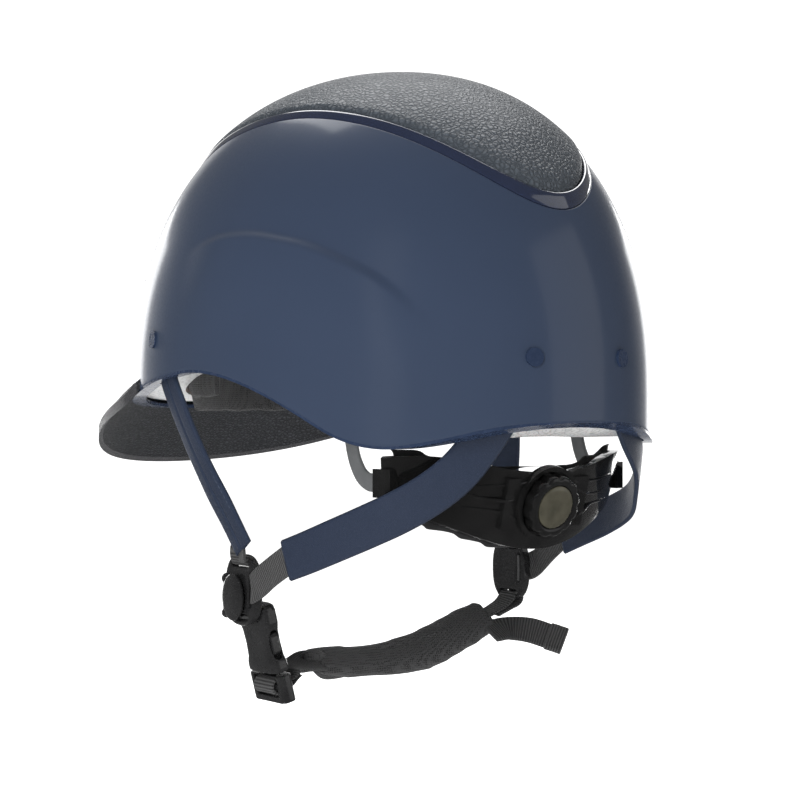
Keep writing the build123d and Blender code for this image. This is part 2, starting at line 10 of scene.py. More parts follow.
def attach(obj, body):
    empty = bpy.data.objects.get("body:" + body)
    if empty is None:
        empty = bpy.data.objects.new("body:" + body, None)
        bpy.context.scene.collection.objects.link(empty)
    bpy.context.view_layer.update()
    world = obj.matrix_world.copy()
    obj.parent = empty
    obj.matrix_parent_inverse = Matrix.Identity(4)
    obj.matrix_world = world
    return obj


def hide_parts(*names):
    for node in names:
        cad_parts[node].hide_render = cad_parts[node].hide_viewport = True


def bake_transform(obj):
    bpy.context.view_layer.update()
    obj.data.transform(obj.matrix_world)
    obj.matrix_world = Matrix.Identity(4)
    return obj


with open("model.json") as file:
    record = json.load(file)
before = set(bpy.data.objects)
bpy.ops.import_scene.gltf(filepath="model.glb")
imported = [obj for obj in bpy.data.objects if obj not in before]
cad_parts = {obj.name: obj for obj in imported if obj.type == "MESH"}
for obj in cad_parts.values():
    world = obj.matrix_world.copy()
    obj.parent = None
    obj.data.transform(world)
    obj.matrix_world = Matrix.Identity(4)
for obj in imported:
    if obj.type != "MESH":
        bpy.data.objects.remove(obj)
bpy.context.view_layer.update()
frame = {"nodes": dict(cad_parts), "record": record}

# A riding helmet. Metres, +X the wearer's left, -Y the front, +Z up, as in the CAD frame.
MM = 0.001
SCENE = bpy.context.scene

# ---- driving dimensions, in millimetres: all but the crest are as the CAD model has them ----
HALF_WIDTH, REAR, FRONT, CROWN, DOME_POWER = 110.0, 127.0, 147.0, 147.0, 2.26
SHELL_WALL = 2.2
INSERT_HALF_WIDTH, INSERT_HALF_LENGTH, INSERT_Y = 69.5, 127.0, -15.0
INSERT_RIM = 3.5
# Height of the rim along y.
RIM_LINE = [
    (-178, 1), (-147, -4.5), (-120, -3), (-90, 0), (-61, 4.3), (-42, 7.9), (-25, 10.5), (-5, 12.4),
    (12, 11.5), (37, 5.1), (61, -6.7), (76, -15.5), (91, -19), (105, -16.4), (121, -10.4), (142, -8),
]
# The crest is an arch embossed on each side. This is the height of its upper edge along y.
CREST_LINE = [
    (-60, 48), (-30, 60), (-5, 68.6), (12, 71.1), (28, 71), (42, 68.6), (52, 66.5),
    (64, 62.3), (74, 57.5), (84, 51.5), (92.5, 44), (97.6, 37.9), (127, 5),
]
CREST_HEIGHT = 2.0
# The band of the nape cradle: a cone about an upright axis, its radius given at one height.
BAND_RADIUS, BAND_Y, BAND_Z, LEAN = 89.3, 14.0, -44.0, math.radians(15.6)
# Centre of the dial's face, and the flat housing of its drive behind it.
DIAL_Y, DIAL_Z = 110.0, -46.0
HOUSING_HALF_WIDTH, HOUSING_HALF_HEIGHT, HOUSING_DEPTH = 23.5, 12.0, 7.0


# ---- small numeric helpers ----
def smooth(x, low, high):
    """0 below low, 1 above high, and a soft step between."""
    t = np.clip((np.asarray(x, float) - low) / (high - low), 0, 1)
    return t * t * (3 - 2 * t)


def through(points, x):
    """Smooth curve y(x) through points, as a cubic with Catmull-Rom slopes."""
    xs, ys = np.array(points, float).T
    slopes = np.gradient(ys, xs)
    x = np.clip(np.asarray(x, float), xs[0], xs[-1])
    i = np.clip(np.searchsorted(xs, x) - 1, 0, len(xs) - 2)
    h = xs[i + 1] - xs[i]
    t = (x - xs[i]) / h
    return ((2 * t**3 - 3 * t**2 + 1) * ys[i] + (t**3 - 2 * t**2 + t) * h * slopes[i]
            + (3 * t**2 - 2 * t**3) * ys[i + 1] + (t**3 - t**2) * h * slopes[i + 1])


def run_length(p):
    """Length of the line through some points."""
    return np.linalg.norm(np.diff(p, axis=0), axis=1).sum()


def run_along(p):
    """Distance along a line at each of its points."""
    return np.concatenate([[0], np.cumsum(np.linalg.norm(np.diff(p, axis=0), axis=1))])


def path_through(points, count):
    """count rows evenly spaced along a smooth curve: a point first, then any values it carries."""
    p = np.array(points, float)
    at = run_along(p)
    fine = np.linspace(0, at[-1], 400)
    dense = np.stack([through(list(zip(at, p[:, k])), fine) for k in range(p.shape[1])], axis=1)
    run = run_along(dense[:, :3])
    even = np.linspace(0, run[-1], count)
    return np.stack([np.interp(even, run, dense[:, k]) for k in range(p.shape[1])], axis=1)


def full_turn(count):
    """Angles evenly spaced round a full turn."""
    return np.linspace(0, 2 * math.pi, count, endpoint=False)


def unit(v):
    """Vectors at unit length."""
    v = np.asarray(v, float)
    return v / np.maximum(np.linalg.norm(v, axis=-1, keepdims=True), 1e-12)


# ---- mesh helpers ----
def new_object(name, data):
    """Object in the scene around a mesh, curve, light or camera."""
    made = bpy.data.objects.new(name, data)
    SCENE.collection.objects.link(made)
    return made


def shade_smooth(mesh):
    for polygon in mesh.polygons:
        polygon.use_smooth = True


def wear(mesh, material):
    """Gives a mesh one material and no other."""
    mesh.materials.clear()
    mesh.materials.append(material)


def finish_mesh(name, verts, faces, slot, body, replaces=(), uv=None, material=None):
    """Smooth object from vertices in millimetres and faces, riding on a body."""
    mesh = bpy.data.meshes.new(name)
    points = [tuple(float(c) * MM for c in v) for v in verts]
    mesh.from_pydata(points, [], [tuple(int(i) for i in f) for f in faces])
    if uv is not None:
        layer = mesh.uv_layers.new(name="UVMap")
        corner_uv = np.array([uv[v.vertex_index] for v in mesh.loops], float)
        layer.data.foreach_set("uv", corner_uv.ravel())
    made = new_object(name, mesh)
    shade_smooth(mesh)
    wear(mesh, material or MATERIAL[slot])
    place(made, body, replaces)
    return made


def place(made, body, replaces=()):
    """Outward faces, body and hidden CAD nodes of a piece."""
    fix_normals(made)
    if body is not None:
        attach(made, body)
    if replaces:
        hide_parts(*([replaces] if isinstance(replaces, str) else replaces))


def fix_normals(made):
    """Turns the faces of a mesh outward."""
    mesh = bmesh.new()
    mesh.from_mesh(made.data)
    bmesh.ops.recalc_face_normals(mesh, faces=mesh.faces)
    mesh.to_mesh(made.data)
    mesh.free()


def ring_faces(rows, columns, closed=False, start=0):
    """Quads of a stack of rings of vertices, and from the last ring to the first where closed."""
    faces = []
    for r in range(rows if closed else rows - 1):
        for c in range(columns):
            a, b = r, (r + 1) % rows
            d, e = c, (c + 1) % columns
            corners = (a * columns + d, a * columns + e, b * columns + e, b * columns + d)
            faces.append(tuple(start + corner for corner in corners))
    return faces


def capped_faces(rows, columns, start=0):
    """Faces of a stack of rings, with a cap on the first ring and on the last."""
    last = start + (rows - 1) * columns
    caps = [tuple(range(start, start + columns)), tuple(range(last, last + columns))]
    return ring_faces(rows, columns, start=start) + caps


def modifier(made, kind, **settings):
    """Modifier on an object, with its settings."""
    added = made.modifiers.new(kind.lower(), kind)
    for key, value in settings.items():
        setattr(added, key, value)
    return added


def apply_modifiers(made):
    """Bakes the modifiers into the mesh."""
    graph = bpy.context.evaluated_depsgraph_get()
    graph.update()
    mesh = bpy.data.meshes.new_from_object(made.evaluated_get(graph))
    made.modifiers.clear()
    made.data = mesh


# ---- dome surface ----
# The profile runs from the crown down the dome, then straight down a skirt. Rho is the share of the
# plan's half axes, z the height, and run the length along the profile at a middling half axis.
MIDDLE_HALF_AXIS, SKIRT_ROWS = 122, 40
PROFILE_ANGLES = np.linspace(math.pi / 2, 0, 400)
DOME_RHO = np.maximum(np.cos(PROFILE_ANGLES), 0) ** (2 / DOME_POWER)
DOME_Z = CROWN * np.sin(PROFILE_ANGLES) ** (2 / DOME_POWER)
PROFILE_RHO = np.concatenate([DOME_RHO, [1.0] * SKIRT_ROWS])
PROFILE_Z = np.concatenate([DOME_Z, np.linspace(-1, -40, SKIRT_ROWS)])
PROFILE_STEPS = np.hypot(np.diff(PROFILE_RHO) * MIDDLE_HALF_AXIS, np.diff(PROFILE_Z))
PROFILE_RUN = np.concatenate([[0], np.cumsum(PROFILE_STEPS)])


def plan_scale(angle):
    """Half axes of the dome's plan at an angle from the rear, towards +X."""
    return HALF_WIDTH * np.sin(angle), np.where(np.cos(angle) > 0, REAR, FRONT) * np.cos(angle)


def dome_point(angle, run):
    """Point of the outer dome at an angle from the rear and a distance down from the crown."""
    rho, z = np.interp(run, PROFILE_RUN, PROFILE_RHO), np.interp(run, PROFILE_RUN, PROFILE_Z)
    ax, ay = plan_scale(angle)
    return np.stack([ax * rho, ay * rho, z + 0 * angle], axis=-1)


def dome_normal(p):
    """Outward unit normal of the dome at points on it."""
    x, y, z = np.moveaxis(p, -1, 0)
    b = np.where(y > 0, REAR, FRONT)
    rho2 = np.maximum((x / HALF_WIDTH) ** 2 + (y / b) ** 2, 1e-9)
    radial = rho2 ** (DOME_POWER / 2 - 1)
    up = (np.maximum(z, 0) / CROWN) ** (DOME_POWER - 1) / CROWN
    return unit(np.stack([radial * x / HALF_WIDTH**2, radial * y / b**2, up], axis=-1))


def dome_height(x, y):
    """Height of the dome over a plan point."""
    b = np.where(y > 0, REAR, FRONT)
    rho = np.sqrt((x / HALF_WIDTH) ** 2 + (y / b) ** 2)
    return CROWN * np.maximum(1 - np.minimum(rho, 1) ** DOME_POWER, 0) ** (1 / DOME_POWER)


def rim_run(angle):
    """Distance down from the crown to the rim at each angle."""
    _, ay = plan_scale(angle)
    z = through(RIM_LINE, ay)
    return np.interp(-z, -PROFILE_Z, PROFILE_RUN)


def insert_run(angle):
    """Distance down from the crown to the insert's outline at each angle."""
    ax, ay = plan_scale(angle)
    a, b = INSERT_HALF_WIDTH, INSERT_HALF_LENGTH
    # The outline is an ellipse about INSERT_Y, so rho is the root of a quadratic.
    square, line, rest = (ax / a) ** 2 + (ay / b) ** 2, -2 * ay * INSERT_Y / b**2, (INSERT_Y / b) ** 2 - 1
    rho = (-line + np.sqrt(line**2 - 4 * square * rest)) / (2 * square)
    return np.interp(rho, PROFILE_RHO, PROFILE_RUN)


def crest_lift(p):
    """Embossed arch on each side: a soft ledge above a gently swollen field."""
    _, y, z = np.moveaxis(p, -1, 0)
    drop = through(CREST_LINE, y) - z
    ledge = smooth(drop, -1.0, 4.5) * (1 - smooth(drop, 8.0, 46.0))
    ends = smooth(y, -20, 10) * (1 - smooth(y, 80, 108))
    return CREST_HEIGHT * ledge * ends


# ---- materials ----
RANGE_SOCKETS = ("From Min", "From Max", "To Min", "To Max")


class Nodes:
    """Small builder for a node material."""

    def __init__(self, name, **sockets):
        self.material = bpy.data.materials.new(name)
        self.material.use_nodes = True
        self.tree = self.material.node_tree
        self.shader = self.tree.nodes["Principled BSDF"]
        for key, value in sockets.items():
            self.shader.inputs[key.replace("_", " ")].default_value = value
        self.coords = self.tree.nodes.new("ShaderNodeTexCoord")

    def node(self, kind, **settings):
        made = self.tree.nodes.new(kind)
        for key, value in settings.items():
            setattr(made, key, value)
        return made

    def link(self, a, b):
        self.tree.links.new(a, b)

    def noise(self, scale, detail=3.0, roughness=0.5):
        made = self.node("ShaderNodeTexNoise")
        made.inputs["Scale"].default_value = scale
        made.inputs["Detail"].default_value = detail
        made.inputs["Roughness"].default_value = roughness
        self.link(self.coords.outputs["Object"], made.inputs["Vector"])
        return made.outputs["Fac"]

    def voronoi(self, scale, feature="F1", source=None, randomness=1.0):
        made = self.node("ShaderNodeTexVoronoi", feature=feature)
        made.inputs["Scale"].default_value = scale
        made.inputs["Randomness"].default_value = randomness
        self.link(source or self.coords.outputs["Object"], made.inputs["Vector"])
        return made.outputs["Distance"]

    def maths(self, operation, a, b=0.5, c=None):
        made = self.node("ShaderNodeMath", operation=operation)
        for value, socket in zip((a, b, c), made.inputs):
            if isinstance(value, (int, float)):
                socket.default_value = value
            elif value is not None:
                self.link(value, socket)
        return made.outputs[0]

    def ramp(self, value, low, high, start=0.0, end=1.0):
        """Remaps value from low..high to start..end, clamped."""
        made = self.node("ShaderNodeMapRange", clamp=True)
        self.link(value, made.inputs["Value"])
        for socket, number in zip(RANGE_SOCKETS, (low, high, start, end)):
            made.inputs[socket].default_value = number
        return made.outputs["Result"]

    def mix(self, factor, first, second):
        made = self.node("ShaderNodeMix", data_type="RGBA")
        self.link(factor, made.inputs[0])
        for socket, colour in zip((made.inputs[6], made.inputs[7]), (first, second)):
            if isinstance(colour, tuple):
                socket.default_value = (*colour, 1)
            else:
                self.link(colour, socket)
        return made.outputs[2]

    def colour(self, output):
        self.link(output, self.shader.inputs["Base Color"])

    def rough(self, output):
        self.link(output, self.shader.inputs["Roughness"])

    def uneven(self, scale, detail, low, high):
        """Roughness that wanders between two values."""
        self.rough(self.ramp(self.noise(scale, detail), 0.3, 0.7, low, high))

    def bump(self, height, distance, strength=1.0):
        made = self.node("ShaderNodeBump")
        made.inputs["Strength"].default_value = strength
        made.inputs["Distance"].default_value = distance
        self.link(height, made.inputs["Height"])
        self.link(made.outputs["Normal"], self.shader.inputs["Normal"])

    def uv(self):
        """A strap's own coordinates, in millimetres."""
        return self.node("ShaderNodeUVMap").outputs["UV"]

    def split(self, vector):
        """The x, y and z of a vector."""
        made = self.node("ShaderNodeSeparateXYZ")
        self.link(vector, made.inputs["Vector"])
        return made.outputs


def satin_lacquer():
    m = Nodes("satin_navy_lacquer", Roughness=0.42, Specular_IOR_Level=0.1, Coat_Weight=0.42,
              Coat_Roughness=0.14)
    cloud = m.noise(18, 2)
    m.colour(m.mix(cloud, (0.0220, 0.0322, 0.0570), (0.0255, 0.0365, 0.0635)))
    m.uneven(900, 2, 0.36, 0.44)
    m.bump(m.noise(1400, 2), 0.00004, 0.35)
    return m.material


def gloss_navy():
    m = Nodes("gloss_navy_trim", Roughness=0.08, Coat_Weight=0.8, Coat_Roughness=0.04)
    m.colour(m.mix(m.noise(60, 2), (0.006, 0.010, 0.026), (0.009, 0.014, 0.034)))
    m.uneven(500, 2, 0.06, 0.12)
    m.bump(m.noise(260, 1), 0.00003, 0.25)
    return m.material


def leather(name, dark, light, cell, depth, roughness, shine=0.0):
    """Pebble-grained leather look: rounded cells with creases between them."""
    m = Nodes(name, Roughness=roughness, Specular_IOR_Level=0.35, Coat_Weight=shine,
              Coat_Roughness=0.3)
    warp = m.node("ShaderNodeVectorMath", operation="MULTIPLY_ADD")
    wobble = m.node("ShaderNodeTexNoise")
    wobble.inputs["Scale"].default_value = 0.45 / cell
    m.link(m.coords.outputs["Object"], wobble.inputs["Vector"])
    m.link(wobble.outputs["Color"], warp.inputs[0])
    warp.inputs[1].default_value = (cell * 0.9,) * 3
    m.link(m.coords.outputs["Object"], warp.inputs[2])
    crease = m.voronoi(1 / cell, "DISTANCE_TO_EDGE", warp.outputs[0], 0.85)
    pebble = m.ramp(crease, 0.0, 0.32)
    fine = m.noise(3.2 / cell, 3)
    height = m.maths("MULTIPLY_ADD", fine, 0.25, pebble)
    # Colour darker down into the creases between pebbles: painted shade. The slow tone changes over it are
    # the leather's own.
    tone = m.maths("MULTIPLY", pebble, m.ramp(m.noise(25, 3), 0.3, 0.7, 0.75, 1.0))
    m.colour(m.mix(tone, dark, light))
    m.rough(m.ramp(pebble, 0, 1, min(roughness + 0.16, 1), roughness))
    m.bump(height, depth, 0.9)
    return m.material


def foam():
    m = Nodes("expanded_foam", Roughness=0.75, Subsurface_Weight=0.05)
    bead = m.voronoi(380, "DISTANCE_TO_EDGE")
    edge = m.ramp(bead, 0.0, 0.14)
    # Colour darker along the seams between beads: painted shade.
    m.colour(m.mix(edge, (0.30, 0.30, 0.30), (0.50, 0.50, 0.50)))
    m.uneven(700, 2, 0.65, 0.85)
    m.bump(edge, 0.0002, 0.8)
    return m.material


def moulded(name, dark, light, low, high, grain=0.00003, scale=1600, coat=0.0, shine=0.15):
    """Moulded plastic with a fine spark-eroded grain and slight tone changes."""
    m = Nodes(name, Roughness=(low + high) / 2, Specular_IOR_Level=shine, Coat_Weight=coat,
              Coat_Roughness=0.06)
    m.colour(m.mix(m.ramp(m.noise(90, 3), 0.3, 0.7), dark, light))
    m.uneven(420, 3, low, high)
    m.bump(m.noise(scale, 2), grain, 0.5)
    return m.material


def spacer_mesh():
    """Black air mesh: small round holes in staggered rows over a soft ground."""
    m = Nodes("black_spacer_mesh", Roughness=0.85, Specular_IOR_Level=0.12, Sheen_Weight=0.08,
              Sheen_Roughness=0.6)
    hole = m.ramp(m.voronoi(1000, "F1", randomness=0.3), 0.2, 0.5)
    thread = m.noise(2600, 3)
    # The holes are near black: painted shade in them. The hole pattern itself is the mesh's own.
    m.colour(m.mix(hole, (0.004, 0.004, 0.004), (0.036, 0.036, 0.037)))
    m.rough(m.ramp(thread, 0.3, 0.7, 0.75, 0.95))
    m.bump(m.maths("MULTIPLY_ADD", thread, 0.3, hole), 0.0004, 0.9)
    return m.material


def brushed_padding():
    m = Nodes("black_brushed_padding", Roughness=0.9, Specular_IOR_Level=0.1, Sheen_Weight=0.08,
              Sheen_Roughness=0.45)
    nap = m.noise(1900, 5, 0.7)
    m.colour(m.mix(nap, (0.006, 0.006, 0.006), (0.02, 0.02, 0.021)))
    m.rough(m.ramp(nap, 0.3, 0.7, 0.8, 1.0))
    m.bump(nap, 0.0003, 0.7)
    return m.material


def ribbed_webbing():
    """Woven webbing: ribs across the strap, finer diagonal threads on them."""
    m = Nodes("black_ribbed_webbing", Roughness=0.7, Specular_IOR_Level=0.15, Sheen_Weight=0.06,
              Sheen_Roughness=0.5)
    rib_pitch, thread_pitch = 1.3, 0.8
    across, along, _ = m.split(m.uv())
    rib = m.maths("SINE", m.maths("MULTIPLY", along, 2 * math.pi / rib_pitch), 0)
    slant = m.maths("ADD", m.maths("MULTIPLY", across, 2 * math.pi / thread_pitch),
                    m.maths("MULTIPLY", along, 2 * math.pi / rib_pitch))
    thread = m.maths("SINE", slant, 0)
    height = m.maths("MULTIPLY_ADD", thread, 0.35, rib)
    # Colour from the weave's height, dark in the valleys between ribs and pale on their crests: painted
    # shade and painted highlight.
    tone = m.ramp(height, -1.1, 1.1)
    m.colour(m.mix(tone, (0.012, 0.012, 0.012), (0.06, 0.06, 0.061)))
    m.uneven(1200, 2, 0.6, 0.8)
    m.bump(tone, 0.00035, 0.9)
    return m.material


def smoky_disc():
    m = Nodes("smoky_dial_disc", Roughness=0.12, Specular_IOR_Level=0.15, Metallic=0.1,
              Coat_Weight=0.25, Coat_Roughness=0.03)
    m.colour(m.mix(m.ramp(m.noise(120, 3), 0.3, 0.7), (0.035, 0.033, 0.024), (0.062, 0.058, 0.042)))
    m.uneven(800, 2, 0.1, 0.18)
    m.bump(m.noise(1500, 1), 0.00001, 0.3)
    return m.material


def steel():
    m = Nodes("plain_steel", Metallic=1.0, Roughness=0.32)
    m.colour(m.mix(m.noise(300, 3), (0.42, 0.42, 0.43), (0.6, 0.6, 0.6)))
    m.uneven(900, 3, 0.25, 0.42)
    m.bump(m.noise(1200, 2), 0.00002, 0.4)
    return m.material


MATERIAL = {
    "shell": satin_lacquer(),
    "trim_gloss": gloss_navy(),
    "crown_leather": leather("blue_grey_grain", (0.030, 0.036, 0.044), (0.060, 0.070, 0.083),
                             0.0022, 0.00045, 0.42, 0.1),
    "peak_leather": leather("charcoal_grain", (0.012, 0.013, 0.015), (0.036, 0.038, 0.044),
                            0.0019, 0.0006, 0.5),
    "peak_edge": leather("grey_edge_grain", (0.03, 0.03, 0.033), (0.06, 0.06, 0.065),
                         0.0012, 0.0003, 0.42),
    "foam": foam(),
    "moulding": moulded("navy_moulding", (0.012, 0.02, 0.042), (0.018, 0.028, 0.056),
                        0.2, 0.32, coat=0.3),
    "pad_mesh": spacer_mesh(),
    "pad_leather": brushed_padding(),
    "strap_leather": leather("navy_strap_grain", (0.014, 0.021, 0.040), (0.018, 0.026, 0.048),
                             0.0008, 0.00006, 0.42),
    "webbing": ribbed_webbing(),
    "black_plastic": moulded("black_nylon", (0.008, 0.008, 0.0085), (0.014, 0.014, 0.0145),
                             0.2, 0.3, 0.000004, 1600, 0.5, 0.22),
    "black_gloss": moulded("black_gloss_nylon", (0.004, 0.004, 0.004), (0.007, 0.007, 0.007),
                           0.13, 0.2, 0.000002, 900, 0.5, 0.08),
    "grey_plastic": moulded("grey_nylon", (0.085, 0.088, 0.091), (0.11, 0.113, 0.116), 0.3, 0.45),
    "dial_disc": smoky_disc(),
    "steel": steel(),
}
SLOT_OF = {row["node"]: row["material_slot"] for row in frame["record"]["subparts"]}
for node_name, node_object in frame["nodes"].items():
    wear(node_object.data, MATERIAL[SLOT_OF[node_name]])


# ---- shell, crown insert and its ring ----
def make_shell():
    """Outer shell from the insert's outline to the rim, with a rolled edge and a plainer inside."""
    columns, rows = 384, 150
    roll_depth = 0.7
    angle = full_turn(columns)
    start, end = insert_run(angle), rim_run(angle)
    verts = []

    def row(share, depth):
        """Ring at a share of the way to the rim, some depth below the surface."""
        p = dome_point(angle, start + (end - start) * share)
        n = dome_normal(p)
        return p + n * (crest_lift(p)[:, None] - depth)

    seat = dome_point(angle, start)
    normal = dome_normal(seat)
    down = unit(dome_point(angle, start + 1) - seat)
    for depth, along in ((1.2, 0.0), (0.45, 0.0), (0.12, 0.1), (0.0, 0.42)):
        verts.append(seat - normal * depth + down * along)
    for share in np.linspace(0.006, 0.994, rows):
        verts.append(row(share, 0))
    rim, rim_n = dome_point(angle, end), dome_normal(dome_point(angle, end))
    centre = rim - rim_n * SHELL_WALL / 2
    for turn in np.linspace(10, 170, 7):
        a = math.radians(turn)
        low = np.array([0, 0, -1]) * math.sin(a) * roll_depth
        verts.append(centre + rim_n * math.cos(a) * SHELL_WALL / 2 + low)
    for share in np.linspace(0.99, 0.55, 12):
        verts.append(row(share, SHELL_WALL))
    verts.append(seat - normal * SHELL_WALL)
    faces = ring_faces(len(verts), columns, True)
    finish_mesh("shell", np.concatenate(verts), faces, "shell", "helmet", "outer_shell")


def ellipse_plan(angle, shrink, share=1.0):
    """Plan point on the insert's outline, shrunk by some millimetres."""
    return ((INSERT_HALF_WIDTH - shrink) * share * np.sin(angle),
            INSERT_Y + (INSERT_HALF_LENGTH - shrink) * share * np.cos(angle))


def on_dome(x, y):
    """Points of the dome over plan points, and the normals there."""
    p = np.stack([x, y, dome_height(x, y)], axis=-1)
    return p, dome_normal(p)


def make_ring():
    """Glossy ring: flush with the shell outside, standing up towards the padded insert."""
    columns = 512
    angle = full_turn(columns)
    # Steps inward from the outline, and heights off the dome.
    section = [(0.12, -1.2), (0.12, -0.25), (0.3, 0.05), (0.8, 0.28), (1.6, 0.62), (2.5, 1.0),
               (3.1, 1.12), (3.45, 0.95), (3.6, 0.5), (3.6, -1.2)]
    verts = []
    for shrink, height in section:
        p, n = on_dome(*ellipse_plan(angle, shrink))
        verts.append(p + n * height)
    faces = ring_faces(len(section), columns, True)
    finish_mesh("crown_ring", np.concatenate(verts), faces, "trim_gloss", "helmet", "crown_trim")


def make_panel():
    """Padded insert: leather-look skin pulled down into the ring all round."""
    columns = 360
    angle = full_turn(columns)
    edge = INSERT_RIM + 0.25
    under, tucked, swell = -1.2, -0.5, 2.35
    roll_share, smallest_share = 0.05, 0.004
    verts = []
    for share in (0.3, 1.0):
        p, n = on_dome(*ellipse_plan(angle, edge, share))
        verts.append(p + n * under)
    for step in np.linspace(0, 1, 90):
        share = math.cos(step * math.pi / 2) ** 0.9
        roll = 1 - (1 - min((1 - share) / roll_share, 1)) ** 2.4
        p, n = on_dome(*ellipse_plan(angle, edge, max(share, smallest_share)))
        verts.append(p + n * (tucked + swell * roll))
    faces = ring_faces(len(verts), columns)
    top = (len(verts) - 1) * columns
    faces.append(tuple(range(top, top + columns)))
    faces.append(tuple(range(columns)))
    return finish_mesh("crown_insert", np.concatenate(verts), faces, "crown_leather", "helmet",
                       "crown_panel")


make_shell()
make_ring()
make_panel()


# ---- stitches ----
STITCH_PITCH, STITCH_GAP, STITCH_RADIUS = 2.6, 0.35, 0.16
# Shares of a stitch's length, and of its radius there.
STITCH_PROFILE = [(0, 0.35), (0.18, 0.9), (0.5, 1.0), (0.82, 0.9), (1, 0.35)]
# A direction that no stitch runs along.
STITCH_ASIDE = [0.31, 0.17, 0.93]


def seam_thread(name, points, slot, body):
    """Row of short thread stitches along points, as one mesh."""
    path = path_through(points, max(len(points) * 40, 200))
    run = run_along(path)
    verts, faces = [], []
    for start in np.arange(STITCH_PITCH / 2, run[-1] - STITCH_PITCH, STITCH_PITCH):
        ends = (start, start + STITCH_PITCH * (1 - STITCH_GAP))
        a, b = (np.array([np.interp(s, run, path[:, k]) for k in range(3)]) for s in ends)
        t = unit(b - a)
        side = unit(np.cross(t, STITCH_ASIDE))
        up = np.cross(side, t)
        faces += capped_faces(len(STITCH_PROFILE), 6, len(verts))
        for share, size in STITCH_PROFILE:
            for turn in np.arange(6) * math.pi / 3:
                out = (side * math.cos(turn) + up * math.sin(turn)) * STITCH_RADIUS * size
                verts.append(a + (b - a) * share + out)
    finish_mesh(name, verts, faces, slot, body, material=THREAD)


# ---- straps and webbing ----
SEAM_HALF_WIDTH = 0.7
# The ends of a strap are rounded off: thinner, narrower and a little further out.
END_THINNING, END_NARROWING, END_REACH = 0.55, 0.97, 0.3


def strap_axes(p, normals):
    """Unit vectors along a strap, across it and out of its face, at each of its points."""
    along = unit(np.gradient(p, axis=0))
    out = unit(normals - (normals * along).sum(axis=1, keepdims=True) * along)
    return along, np.cross(along, out), out


def strap(name, points, normals, width, thickness, slot, body, replaces=(), puff=0.0, seam=0.0,
          step=1.2, bend=None):
    """Flat strap with rounded edges along points, its face turned to the normals.

    puff swells the outer face, seam cuts a groove along it, and step spaces its rows. Given a bend, the
    strap rides on no body and its placing is baked into the mesh; what the bend holds is not used. UV
    coordinates are millimetres.
    """
    knots = np.concatenate([np.array(points, float), unit(np.array(normals, float))], axis=1)
    path = path_through(knots, max(int(run_length(knots[:, :3]) / step), 8))
    p = path[:, :3]
    t, side, n = strap_axes(p, path[:, 3:])
    half, thick = width / 2, thickness / 2
    across = np.linspace(-1, 1, 25)
    round_start = 1 - thickness / width
    shape = np.sqrt(np.clip(1 - ((np.abs(across) - round_start) / (1 - round_start)) ** 2, 0, 1))
    shape = np.where(np.abs(across) < round_start, 1, np.maximum(shape, 0.12))
    swell = puff * np.cos(across * math.pi / 2) ** 0.6 if puff else 0
    groove = seam * np.exp(-((across * half / SEAM_HALF_WIDTH) ** 2))
    top = thick * shape + swell - groove
    low = -thick * shape
    u = np.concatenate([across * half, across[::-1][1:-1] * half])
    h = np.concatenate([top, low[::-1][1:-1]])
    run = run_along(p)
    last = len(p) - 1
    stations = [(0, END_THINNING, END_NARROWING, -END_REACH)]
    stations += [(i, 1.0, 1, 0.0) for i in range(len(p))]
    stations += [(last, END_THINNING, END_NARROWING, END_REACH)]
    verts, uvs = [], []
    for at, thin, narrow, reach in stations:
        for a, b in zip(u, h):
            verts.append(p[at] + side[at] * a * narrow + n[at] * b * thin + t[at] * reach)
            uvs.append((a, run[at]))
    faces = capped_faces(len(stations), len(u))
    made = finish_mesh(name, verts, faces, slot, None if bend else body, replaces, uv=uvs)
    if bend:
        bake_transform(made)


def beside(points, normals, offset, lift):
    """Line beside a strap's middle, offset sideways and lifted off its face."""
    p = np.array(points, float)
    _, side, out = strap_axes(p, unit(np.array(normals, float)))
    return p + side * offset + out * lift


THREAD = moulded("navy_thread", (0.05, 0.065, 0.10), (0.09, 0.11, 0.15), 0.5, 0.7, 0.00002, 3000)
SIDES = {"left": 1, "right": -1}
# Centres of the strap dividers, and the sleeves' routes from the shell down towards them.
DIVIDER = {"left": (81.0, -4.5, -84.5), "right": (-80.5, -9.0, -84.5)}
FRONT_ROUTE = {
    "left": [(99, -41, 22), (101, -34.5, 9), (99, -28.4, -5.5), (96, -23.3, -18.8), (92, -14.8, -36.3),
             (89, -5, -51.4), (86, 3, -65.5)],
    "right": [(-99, -41, 22), (-101, -37, 9), (-99.5, -34.5, -8), (-97, -31.5, -28), (-93, -28.5, -45),
              (-88.5, -25, -60), (-85.5, -21.5, -71)],
}
REAR_ROUTE = {
    "left": [(25, 117.5, 16), (31.5, 113.5, -2), (38.5, 108.5, -16), (49.5, 102.5, -31), (59.5, 95.8, -40),
             (68, 88, -46.5), (75, 77.5, -52.3), (80.5, 63, -58.6), (84, 46, -65), (85, 34, -68.8)],
    "right": [(-27, 114.6, 16), (-35.5, 111, -2), (-44, 108, -14.5), (-56, 102.5, -27), (-66, 91.5, -38),
              (-75.5, 77.5, -47.5), (-79, 60, -55), (-79.5, 42, -61.5), (-80, 28, -66.5)],
}
WEB_WIDTH, WEB_THICKNESS = 13.0, 1.4
